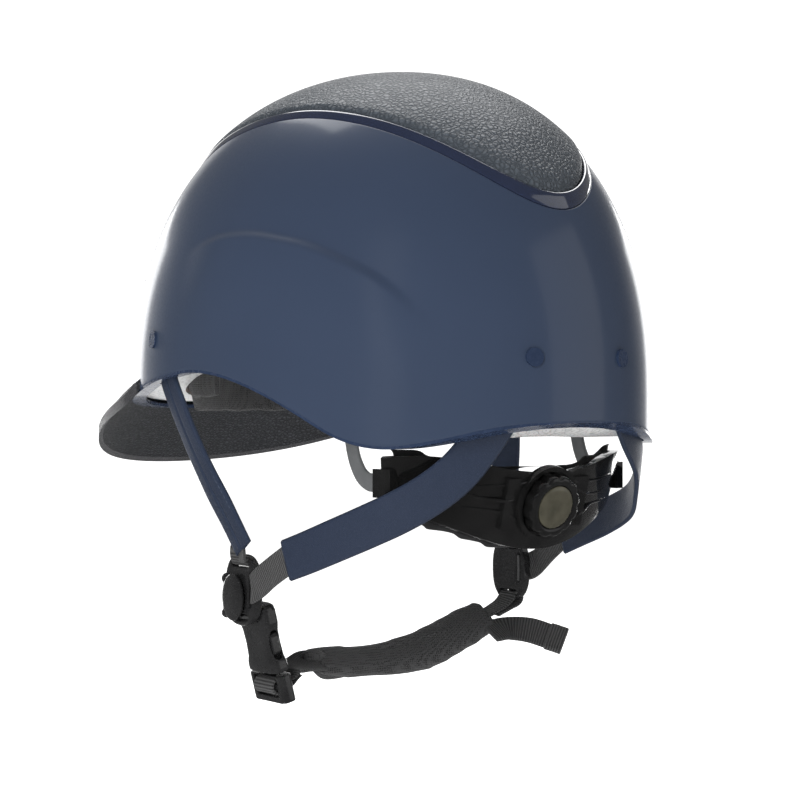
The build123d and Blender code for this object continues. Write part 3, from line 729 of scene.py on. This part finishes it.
for side_name, sign in SIDES.items():
    x, y, z = DIVIDER[side_name]
    route = FRONT_ROUTE[side_name]
    facing = [(sign, -0.25, 0)] * len(route)
    strap(f"front_sleeve_{side_name}", route, facing, 17.0, 2.0, "strap_leather", "helmet",
          f"front_strap_{side_name}", 0.5, 0.7)
    for row_name, offset in (("a", -7.0), ("b", 7.0)):
        seam_thread(f"front_stitch_{side_name}_{row_name}", beside(route, facing, offset, 1.12)[1:],
                    "strap_leather", "helmet")
    # Each web runs from its sleeve down the divider's outer face and in through its slot.
    last = route[-1]
    web = [last, (x + sign * 3.2, y + 0.8, z + 17.2), (x + sign * 2.6, y + 0.5, z + 13.6)]
    if side_name == "right":
        web = [last, (x + sign * 3.4, y - 4.5, z + 15.2), (x + sign * 2.8, y + 0.5, z + 14.2)]
    web += [(x + sign * 1.2, y + 0.3, z + 11.6), (x - sign * 2.6, y + 0.2, z + 11.2)]
    facing = [(sign, -0.2, 0), (sign, 0, 0), (sign, 0, -0.3), (sign * 0.5, 0, -1), (0, 0, -1)]
    strap(f"front_web_{side_name}", web, facing, WEB_WIDTH, WEB_THICKNESS, "webbing", "helmet",
          f"front_webbing_{side_name}", step=0.4)
    route = REAR_ROUTE[side_name]
    facing = [(px, py - BAND_Y, 0) for px, py, pz in route]
    strap(f"rear_sleeve_{side_name}", route, facing, 18.0, 1.9, "strap_leather", "helmet",
          f"rear_strap_{side_name}", 0.25, 0.0)
    last = route[-1]
    middle = [(last[0] + x + sign * 3.2) / 2, (last[1] + y + 14) / 2, (last[2] + z + 3.6) / 2]
    web = [last, middle, (x + sign * 3.1, y + 14.5, z + 3.2), (x + sign * 2.6, y + 10.6, z + 1.4),
           (x + sign * 0.9, y + 8.6, z + 0.7), (x - sign * 2.6, y + 8.2, z + 0.6)]
    facing = [(sign, 0.1, 0)] * 3 + [(sign, -0.3, 0), (sign * 0.5, -1, 0), (0, -1, 0)]
    strap(f"rear_web_{side_name}", web, facing, WEB_WIDTH, WEB_THICKNESS, "webbing", "helmet",
          f"rear_webbing_{side_name}", step=0.4)


# ---- buckle's frame of reference, chin strap ----
# The chin strap swings about CHIN_PIVOT. BAR is the middle of the male half's bar, and it leaves the
# socket along PULL, the chord of its first 7.6 degrees of swing.
CHIN_PIVOT, BAR = np.array([-80.5, -9.0, -99.0]), np.array([65.0, -5.5, -127.5])
BAR_DEPTH, FIRST_SWING = 37.7, math.radians(7.6)
reach = BAR - CHIN_PIVOT
cosine, sine = math.cos(FIRST_SWING), math.sin(FIRST_SWING)
swung = np.array([reach[0] * cosine + reach[2] * sine, reach[1], -reach[0] * sine + reach[2] * cosine])
PULL = unit(swung - reach)
OUT = np.cross(PULL, [0, 1, 0])


def buckle_point(a, b, c):
    """Point in the buckle's frame: a along +Y, b outward and c down the pull from the socket's top."""
    return BAR - PULL * BAR_DEPTH + np.array([0, 1, 0]) * a + OUT * b + PULL * c


x, y, z = DIVIDER["left"]
BUCKLE_WEB = [(x + 1.4, y, z - 12), (x - 3.0, y - 0.4, z - 12), buckle_point(0, -1.5, 5.0)]
strap("buckle_web", BUCKLE_WEB, [(0, 0, 1)] * 3, 12.0, 1.4, "webbing", "helmet",
      "buckle_webbing", step=0.6)

# The chin web's end goes round the male half's bar and comes back to loop_end.
loop_end = BAR + np.array([-9.5, -1.6, 5.4])
ROUND_BAR = [
    (-4.4, 36.4), (-1, 34.9), (3.3, 35.0), (4.7, 37.7), (3.3, 40.4), (-1, 40.7), (-4.4, 40.2),
]
LOOP_NORMALS = [
    (0.1, 0.1, 1), -PULL - OUT * 0.4, -PULL, -PULL + OUT * 0.6, OUT, PULL + OUT * 0.6, PULL,
    PULL - OUT * 0.4, (-0.1, -0.1, -1),
]
loop = [loop_end] + [buckle_point(0, b, c) for b, c in ROUND_BAR]
loop.append(loop_end + np.array([0.3, -0.4, -2.2]))
strap("chin_loop", loop, LOOP_NORMALS, 15.4, 1.3, "webbing", "buckle_half", "chin_web_loop", step=0.5)

CHIN_WEB_LEFT = [
    loop_end, loop_end + np.array([-1.8, -0.5, 0.3]), (46, -11.5, -121.6), (37.2, -15.8, -121),
    (26, -19.5, -122.5),
]
CHIN_WEB_LEFT_NORMALS = [(0.1, 0.1, 1), (0.1, 0.2, 1), (0.1, 0.4, 1), (0, 0.6, 1), (0, 0.6, 1)]
strap("chin_web_left", CHIN_WEB_LEFT, CHIN_WEB_LEFT_NORMALS, 15.4, 1.4, "webbing", "chin_strap",
      "chin_webbing_left", step=0.6)

# On the right the web goes up, round the divider's lower bar and back down, and rides on no body.
CHIN_WEB_RIGHT = [
    (-62, -12.2, -108.0), (-70, -10.8, -104.4), (-75.4, -9.6, -101.2), (-77.8, -9.1, -98.6),
    (-79.0, -9, -96.7), (-81.6, -9, -96.6), (-83.2, -9, -98.6), (-82.0, -9, -101.4),
    (-77.0, -9.6, -103.6), (-70, -10.8, -106.6),
]
CHIN_WEB_RIGHT_NORMALS = [
    (0.5, 0, 1), (0.5, 0, 1), (0.7, 0, 0.8), (0.9, 0, 0.5), (0.4, 0, 1), (-0.4, 0, 1), (-1, 0, 0),
    (-0.5, 0, -1), (-0.5, 0, -1), (-0.5, 0, -1),
]
strap("chin_web_right", CHIN_WEB_RIGHT, CHIN_WEB_RIGHT_NORMALS, 12.0, 1.2, "webbing", "chin_strap",
      "chin_webbing_right", step=0.4,
      bend=("chin_strap", "helmet", (-0.073, -0.009, -0.1035), (-0.079, -0.009, -0.098)))

TAIL = [
    (-60, -1.8, -114), (-70, -0.5, -113), (-78, 6.5, -113.6), (-85, 13.5, -116.5), (-89.5, 18.5, -118.6),
]
TAIL_NORMALS = [(0.1, 0.5, 1), (0.3, 0.5, 0.85), (0.4, 0.5, 0.75), (0.4, 0.5, 0.75), (0.4, 0.5, 0.75)]
strap("tail", TAIL, TAIL_NORMALS, 16.0, 2.0, "webbing", "chin_strap", "strap_tail", step=0.6)


# ---- pads ----
PAD_VOXEL, CLOTH_FRAMES = 4.0, 20
CLOTH = {"use_pressure": True, "uniform_pressure_force": 4.0, "quality": 6, "mass": 0.3,
         "tension_stiffness": 20, "compression_stiffness": 20, "bending_stiffness": 0.6}


def swollen(node, name, body, cap, shrink=0.8):
    """Soft piece: the CAD pad's own volume, remeshed, shrunk and blown up as cloth.

    No point swells by more than cap.
    """
    made = new_object(name, frame["nodes"][node].data.copy())
    modifier(made, "REMESH", mode="VOXEL", voxel_size=PAD_VOXEL * MM, use_smooth_shade=True)
    modifier(made, "SMOOTH", factor=0.5, iterations=2)
    apply_modifiers(made)
    count = len(made.data.vertices)
    start, normals = np.zeros(count * 3), np.zeros(count * 3)
    made.data.vertices.foreach_get("co", start)
    made.data.vertices.foreach_get("normal", normals)
    start, normals = start.reshape(-1, 3), normals.reshape(-1, 3)
    start = start - normals * shrink * MM
    made.data.vertices.foreach_set("co", start.ravel())
    cloth = modifier(made, "CLOTH").settings
    for key, value in CLOTH.items():
        setattr(cloth, key, value)
    cloth.effector_weights.gravity = 0
    for step in range(1, CLOTH_FRAMES + 1):
        SCENE.frame_set(step)
    graph = bpy.context.evaluated_depsgraph_get()
    blown = np.zeros(count * 3)
    made.evaluated_get(graph).data.vertices.foreach_get("co", blown)
    made.modifiers.clear()
    SCENE.frame_set(1)
    move = blown.reshape(-1, 3) - start
    size = np.linalg.norm(move, axis=1, keepdims=True)
    move = move * np.minimum(1, cap * MM / np.maximum(size, 1e-9))
    made.data.vertices.foreach_set("co", (start + move).ravel())
    modifier(made, "SMOOTH", factor=0.5, iterations=3)
    modifier(made, "SUBSURF", levels=2, render_levels=2)
    apply_modifiers(made)
    shade_smooth(made.data)
    wear(made.data, MATERIAL[SLOT_OF[node]])
    place(made, body, node)


swollen("brow_pad", "brow_padding", "helmet", cap=2.0)
swollen("crown_pad", "crown_padding", "helmet", cap=2.0)
swollen("nape_pad", "nape_padding", "cradle", cap=1.6)
swollen("chin_pad", "chin_padding", "chin_strap", cap=1.5, shrink=1.2)


# ---- parts for the fittings ----
def moulded_piece(name, body, slot, replaces, source, voxel=0.35, rounds=6):
    """Piece from a source mesh, fused into one skin and rounded like a moulding."""
    made = new_object(name, source)
    modifier(made, "REMESH", mode="VOXEL", voxel_size=voxel * MM, use_smooth_shade=True)
    modifier(made, "SMOOTH", factor=0.5, iterations=rounds)
    apply_modifiers(made)
    wear(made.data, MATERIAL[slot])
    shade_smooth(made.data)
    place(made, body, replaces)
    return made


def joined(*parts):
    """One mesh from (vertices in millimetres, faces) pairs and CAD node names."""
    mesh = bmesh.new()
    for part in parts:
        if isinstance(part, str):
            mesh.from_mesh(frame["nodes"][part].data)
            continue
        verts, faces = part
        made = [mesh.verts.new([float(c) * MM for c in v]) for v in verts]
        for face in faces:
            mesh.faces.new([made[int(i)] for i in face])
    bmesh.ops.recalc_face_normals(mesh, faces=mesh.faces)
    data = bpy.data.meshes.new("source")
    mesh.to_mesh(data)
    mesh.free()
    return data


def tube(points, radii):
    """Closed tube of changing radius along points."""
    sides = 14
    rows = np.column_stack([np.array(points, float), np.array(radii, float)])
    path = path_through(rows, 60)
    p, r = path[:, :3], path[:, 3]
    t = unit(np.gradient(p, axis=0))
    side = unit(np.cross(t, [0.02, 0.03, 1]))
    up = np.cross(side, t)
    turns = np.arange(sides) * 2 * math.pi / sides
    verts = [p[i] + (side[i] * math.cos(a) + up[i] * math.sin(a)) * r[i]
             for i in range(len(p)) for a in turns]
    return verts, capped_faces(len(p), sides)


# Rolled edges of the chin pad, where its cover wraps round the webbing: a line and its radii.
PAD_ROLLS = {
    "low": ([(33, -17.4, -125.5), (27, -18.8, -127.8), (19, -20.2, -128.6), (8, -21.4, -128.6),
             (-6, -21.8, -128.4)], [1.6, 3.0, 3.0, 2.2, 0.7]),
    "high": ([(4, -21.4, -119.6), (-12, -21.0, -119.4), (-28, -18.6, -117.4), (-44, -12.6, -113.4)],
             [0.7, 2.2, 2.4, 1.8]),
    "end": ([(26, -19.0, -120.6), (33, -17.2, -119.4), (41, -14.6, -118.6)], [1.6, 3.4, 2.2]),
}
for roll_name, (roll_line, roll_radii) in PAD_ROLLS.items():
    roll = moulded_piece(f"chin_roll_{roll_name}", "chin_strap", SLOT_OF["chin_pad"], (),
                         joined(tube(roll_line, roll_radii)), 0.7, 4)
TAIL_FOLD = [(-84.8, 13.2, -116.4), (-87.3, 16.0, -117.5), (-90.0, 19.0, -118.8)]
strap("tail_fold", TAIL_FOLD, TAIL_NORMALS[-3:], 16.6, 4.0, "webbing", "chin_strap", (), step=0.4)


# ---- nape cradle, arms and dial ----
def on_band(x, z, out):
    """Point at x and z on the cradle's outer face, moved out by some millimetres."""
    radius = BAND_RADIUS + math.tan(LEAN) * (z - BAND_Z) + out
    y = BAND_Y + math.sqrt(max(radius**2 - x**2, 0))
    above_dial = z - DIAL_Z
    if abs(x) < HOUSING_HALF_WIDTH and abs(above_dial) < HOUSING_HALF_HEIGHT:
        # Over the drive's flat housing the ridges lie on its face.
        y = max(y, DIAL_Y + (out - HOUSING_DEPTH + above_dial * math.sin(LEAN)) / math.cos(LEAN))
    return x, y, z


# Raised ribs of the cradle, as x and z along each. They are half sunk in its face.
RIDGES = [
    [(52, -34.5), (41.6, -35.7), (27.2, -36.3), (14, -35.4), (7, -33.6)],
    [(52, -37.0), (40.8, -38.7), (31.0, -41.3), (20.8, -42.7), (15.5, -41.8)],
    [(42, -44.6), (33.7, -45.6), (25.9, -46.8), (18.1, -49.2), (12.5, -52.5)],
    [(-15.5, -38.5), (-21, -40.2), (-28, -41.2), (-37.4, -41.1), (-48, -38.5)],
    [(-15, -52.5), (-21.4, -49.6), (-31.8, -46), (-44, -45), (-56, -44.4)],
    [(-7, -33.6), (-14, -35.2), (-27, -35.6), (-42, -34.4), (-54, -32.5)],
]
RIDGE_RADII = [0.25, 0.8, 0.9, 0.8, 0.25]
ridge_parts = [tube([on_band(x, z, -0.25) for x, z in ridge], RIDGE_RADII) for ridge in RIDGES]
moulded_piece("cradle_ridges", "cradle", "black_gloss", (), joined(*ridge_parts), 0.35, 3)

# Grey arms: thin bands from their pivots, turning back into the cradle's ends.
ARM_X = 65.5
ARM_LINE = [
    (53, 4.5), (53, -4), (53, -12), (54.2, -20), (57.2, -27.5), (61.4, -32.6), (66, -34.8), (70.5, -35),
    (76.4, -35),
]
for side_name, sign in SIDES.items():
    arm_points = [(sign * ARM_X, py, pz) for py, pz in ARM_LINE]
    strap(f"arm_band_{side_name}", arm_points, [(sign, 0, 0)] * len(ARM_LINE), 7.8, 1.8,
          "grey_plastic", "arms", "headband_arms", step=0.5)

DIAL_AT = np.array([0, DIAL_Y, DIAL_Z])
DIAL_OUT = np.array([0, math.cos(LEAN), -math.sin(LEAN)])
DIAL_UP = np.array([0, math.sin(LEAN), math.cos(LEAN)])
NOTCHES = 12


def dial_point(radius, angle, height):
    """Point in the dial's frame, height measured out of its face."""
    across = np.array([-1, 0, 0]) * radius * math.cos(angle)
    return DIAL_AT + across + DIAL_UP * radius * math.sin(angle) + DIAL_OUT * height


def lathe(name, profile, slot, replaces):
    """Piece of the dial, turned from radii and heights, with notches as deep as a row's third number."""
    columns = 288
    verts = []
    for radius, height, depth in profile:
        for i in range(columns):
            a = 2 * math.pi * i / columns
            notch = abs(math.cos(NOTCHES / 2 * a)) ** 5
            verts.append(dial_point(radius - depth * notch, a, height))
    finish_mesh(name, verts, capped_faces(len(profile), columns), slot, "dial", replaces)


RING_PROFILE = [
    (10, -6.5, 0), (13.2, -6.5, 1), (13.5, -6.2, 1), (13.5, -1.6, 1), (13.35, -0.8, 1), (12.9, -0.25, 0.9),
    (12.2, 0.0, 0.5), (11.2, 0.05, 0.2), (10.2, -0.1, 0), (9.7, -0.35, 0), (9.5, -0.75, 0),
    (9.45, -1.3, 0), (4, -1.3, 0),
]
DISC_PROFILE = [
    (8.9, -1.2, 0), (9.3, -1.0, 0), (9.35, -0.5, 0), (9.2, -0.2, 0), (8.6, 0.0, 0), (6.5, 0.22, 0),
    (3.5, 0.34, 0), (0.4, 0.38, 0),
]
lathe("dial_ring", RING_PROFILE, "black_gloss", "dial_knob")
lathe("dial_disc", DISC_PROFILE, "dial_disc", "dial_cap")


# ---- dividers and buckle ----
def oval(centre, size, count=64, power=5.0):
    """Closed outline in a plane: an ellipse at power 2, and squarer above it."""
    a = full_turn(count)
    c, s = np.cos(a), np.sin(a)
    return np.column_stack([centre[0] + size[0] / 2 * np.sign(c) * np.abs(c) ** (2 / power),
                            centre[1] + size[1] / 2 * np.sign(s) * np.abs(s) ** (2 / power)])


def plate(outlines, placing, half, bevel):
    """Mesh of a flat plate with holes and rounded edges, from outlines in millimetres."""
    curve = bpy.data.curves.new("plate", "CURVE")
    curve.dimensions, curve.fill_mode = "2D", "BOTH"
    curve.extrude, curve.bevel_depth, curve.bevel_resolution = (half - bevel) * MM, bevel * MM, 3
    curve.offset = -bevel * MM
    for outline in outlines:
        spline = curve.splines.new("POLY")
        spline.points.add(len(outline) - 1)
        spline.use_cyclic_u = True
        rows = np.column_stack([outline * MM, np.zeros(len(outline)), np.ones(len(outline))])
        spline.points.foreach_set("co", rows.ravel())
    holder = new_object("plate", curve)
    graph = bpy.context.evaluated_depsgraph_get()
    graph.update()
    mesh = bpy.data.meshes.new_from_object(holder.evaluated_get(graph))
    bpy.data.objects.remove(holder)
    mesh.transform(placing)
    return mesh


# The divider's oval and its slots for the rear, front and chin webs, across y and z.
DIVIDER_OVAL, DIVIDER_HALF, DIVIDER_BEVEL = (23.4, 31.4), 2.6, 1.2
SLOTS = [((8.0, 0.6), (1.8, 14.4)), ((0, 11.0), (13.6, 1.6)), ((0, -11.8), (12.6, 2.4))]
LUG_SPREAD, LUG_RADIUS = 7.6, 2.4
# Cam cap, a domed oval with a soft rim: shares of its half axes, and heights there.
CAP_HALF_AXES, CAP_COLUMNS = (7.8, 10.4), 96
CAP_PROFILE = [
    (0.2, -0.9), (0.86, -0.9), (0.97, -0.6), (1.0, 0.1), (0.99, 0.7), (0.94, 1.25), (0.84, 1.65),
    (0.66, 2.0), (0.42, 2.25), (0.2, 2.35), (0.03, 2.38),
]
for side_name, sign in SIDES.items():
    x, y, z = DIVIDER[side_name]
    upright = Matrix(((0, 0, 1, x * MM), (1, 0, 0, y * MM), (0, 1, 0, z * MM), (0, 0, 0, 1)))
    outlines = [oval((0, 0), DIVIDER_OVAL, 128, 2.5)] + [oval(*slot) for slot in SLOTS]
    mix = bmesh.new()
    mix.from_mesh(plate(outlines, upright, DIVIDER_HALF, DIVIDER_BEVEL))
    for lug in (-LUG_SPREAD, LUG_SPREAD):
        at = Matrix.Translation(Vector((x + sign * 3.1, y - 8.9, z - 3.0 + lug)) * MM)
        bmesh.ops.create_icosphere(mix, subdivisions=3, radius=LUG_RADIUS * MM, matrix=at)
    source = bpy.data.meshes.new("divider_source")
    mix.to_mesh(source)
    mix.free()
    moulded_piece(f"divider_body_{side_name}", "helmet", "black_plastic", [f"divider_{side_name}"],
                  source, 0.35, 4)
    verts = []
    for share, height in CAP_PROFILE:
        for a in full_turn(CAP_COLUMNS):
            verts.append((x + sign * (4.3 + height), y - 1.9 + CAP_HALF_AXES[0] * share * math.cos(a),
                          z - 3.2 + CAP_HALF_AXES[1] * share * math.sin(a)))
    faces = capped_faces(len(CAP_PROFILE), CAP_COLUMNS)
    finish_mesh(f"cam_cap_{side_name}", verts, faces, "black_plastic", f"lever_{side_name}",
                f"divider_lever_{side_name}")

# Buckle: the socket swells at both ends and narrows at its side windows. Each row is a depth down the
# pull, and the half axes there.
SOCKET = [
    (0, 9.4, 3.4), (0.9, 10.8, 4.2), (3, 11.3, 4.5), (8.6, 11.3, 4.5), (10, 10.9, 4.3), (12, 10.2, 4.2),
    (18, 9.7, 4.2), (24, 10.2, 4.3), (26.5, 11.2, 4.5), (29, 11.5, 4.6), (30.6, 11.4, 4.5), (31, 11.2, 4.4),
]
SOCKET_COLUMNS, CUT_COLUMNS = 96, 48
verts = []
for c, a_half, b_half in SOCKET:
    for a, b in oval((0, 0), (2 * a_half, 2 * b_half), SOCKET_COLUMNS, 4.2):
        verts.append(buckle_point(a, b, c))
socket = new_object("socket_block", joined((verts, capped_faces(len(SOCKET), SOCKET_COLUMNS))))


def cutter(point_of, size, power, start, end):
    """Block to cut with: an oval drawn out from start to end, placed by point_of(u, v, w)."""
    outline = oval((0, 0), size, CUT_COLUMNS, power)
    corners = [point_of(u, v, w) for w in (start, end) for u, v in outline]
    return new_object("cutter", joined((corners, capped_faces(2, CUT_COLUMNS))))


# The prongs' window right through, the mouth for the male half, and the slot for the buckle's web.
cutters = [cutter(lambda u, v, w: buckle_point(w, v, 18.5 + u), (13.4, 5.2), 2.6, -16, 16),
           cutter(lambda u, v, w: buckle_point(u, v, w), (20.0, 5.6), 6, 9.8, 36),
           cutter(lambda u, v, w: buckle_point(u, w, 5.0 + v), (13.6, 3.2), 5, -12, 12)]
for tool in cutters:
    modifier(socket, "BOOLEAN", operation="DIFFERENCE", object=tool, solver="EXACT")
apply_modifiers(socket)
socket_mesh = socket.data
for tool in cutters + [socket]:
    bpy.data.objects.remove(tool)
moulded_piece("buckle_socket", "helmet", "black_plastic", "buckle_female", socket_mesh, 0.3, 4)
moulded_piece("buckle_ladder", "buckle_half", "black_plastic", "buckle_male", joined("buckle_male"),
              0.35, 5)
for prong in ("front", "rear"):
    moulded_piece(f"prong_{prong}_soft", f"prong_{prong}", "black_plastic", f"buckle_prong_{prong}",
                  joined(f"buckle_prong_{prong}"), 0.25, 6)

# Softened edges on three CAD pieces that show in the photo.
for node_name in ("front_plugs", "rear_plugs", "nape_cradle"):
    modifier(frame["nodes"][node_name], "WELD", merge_threshold=0.00001)
    modifier(frame["nodes"][node_name], "BEVEL", width=0.35 * MM, segments=3, limit_method="ANGLE",
             angle_limit=math.radians(35), harden_normals=True)

# ---- camera, floor and light ----
# TOWARDS points from the helmet to the camera.
TOWARDS = Vector((0.62131, 0.78353, 0.00661))
camera_data = bpy.data.cameras.new("camera")
camera_data.lens, camera_data.sensor_width = 87.17, 36
camera = new_object("camera", camera_data)
camera.location = (0.5572, 0.7068, 0.0047)
camera.rotation_euler = (-TOWARDS).to_track_quat("-Z", "Y").to_euler()
bpy.context.scene.camera = camera

SCENE.view_settings.view_transform = "Standard"

# White backdrop behind the helmet, with a dimmer room on the camera's side.
world = bpy.data.worlds.new("studio")
SCENE.world = world
world.use_nodes = True
sky = world.node_tree
direction = sky.nodes.new("ShaderNodeTexCoord")
facing_back = sky.nodes.new("ShaderNodeVectorMath")
facing_back.operation = "DOT_PRODUCT"
facing_back.inputs[1].default_value = tuple(-TOWARDS)
sky.links.new(direction.outputs["Generated"], facing_back.inputs[0])
glow = sky.nodes.new("ShaderNodeMapRange")
glow.interpolation_type = "SMOOTHSTEP"
for key, value in zip(RANGE_SOCKETS, (0.84, 0.94, 0.2, 1.3)):
    glow.inputs[key].default_value = value
sky.links.new(facing_back.outputs["Value"], glow.inputs["Value"])
sky.links.new(glow.outputs["Result"], sky.nodes["Background"].inputs["Strength"])
sky.nodes["Background"].inputs["Color"].default_value = (1, 1, 1, 1)

FLOOR_HALF, FLOOR_Z = 4, -0.30
floor_signs = ((-1, -1), (1, -1), (1, 1), (-1, 1))
floor_corners = [(a * FLOOR_HALF, b * FLOOR_HALF, FLOOR_Z) for a, b in floor_signs]
floor_mesh = bpy.data.meshes.new("floor")
floor_mesh.from_pydata(floor_corners, [], [(0, 1, 2, 3)])
floor = new_object("floor", floor_mesh)
pale = Nodes("pale_floor", Roughness=0.9, Emission_Color=(1, 1, 1, 1), Emission_Strength=0.95)
pale.colour(pale.mix(pale.noise(3, 2), (0.86, 0.86, 0.86), (0.9, 0.9, 0.9)))
floor_mesh.materials.append(pale.material)
# Kept out of reflections, or it turns every black part pale from below.
floor.visible_glossy = False


def softbox(name, spot, aim, width, height, power, mirrored=True):
    """Rectangular light at a spot, aimed at a point, with or without its own reflection."""
    light = bpy.data.lights.new(name, "AREA")
    light.shape, light.size, light.size_y, light.energy = "RECTANGLE", width, height, power
    made = new_object(name, light)
    made.location = spot
    made.visible_glossy = mirrored
    made.rotation_euler = (Vector(aim) - Vector(spot)).to_track_quat("-Z", "Y").to_euler()


AWAY = -TOWARDS
ACROSS = AWAY.cross(Vector((0, 0, 1))).normalized()
softbox("overhead", tuple(AWAY * 0.55 + Vector((0, 0, 1.15))), (0, 0, 0.08), 1.2, 0.8, 15)
softbox("key", (1.10, 0.70, 0.40), (0.05, 0.0, 0.02), 0.35, 1.2, 21, mirrored=False)
softbox("fill", (-0.85, 1.1, 0.25), (-0.03, 0.05, -0.03), 0.9, 1.3, 2.8)
for edge_name, edge_side in (("left_edge", -1), ("right_edge", 1)):
    at = AWAY * 1.62 + ACROSS * (0.92 * edge_side) + Vector((0, 0, 0.05))
    softbox(edge_name, tuple(at), (0, 0, 0.02), 0.55, 0.9, 8)
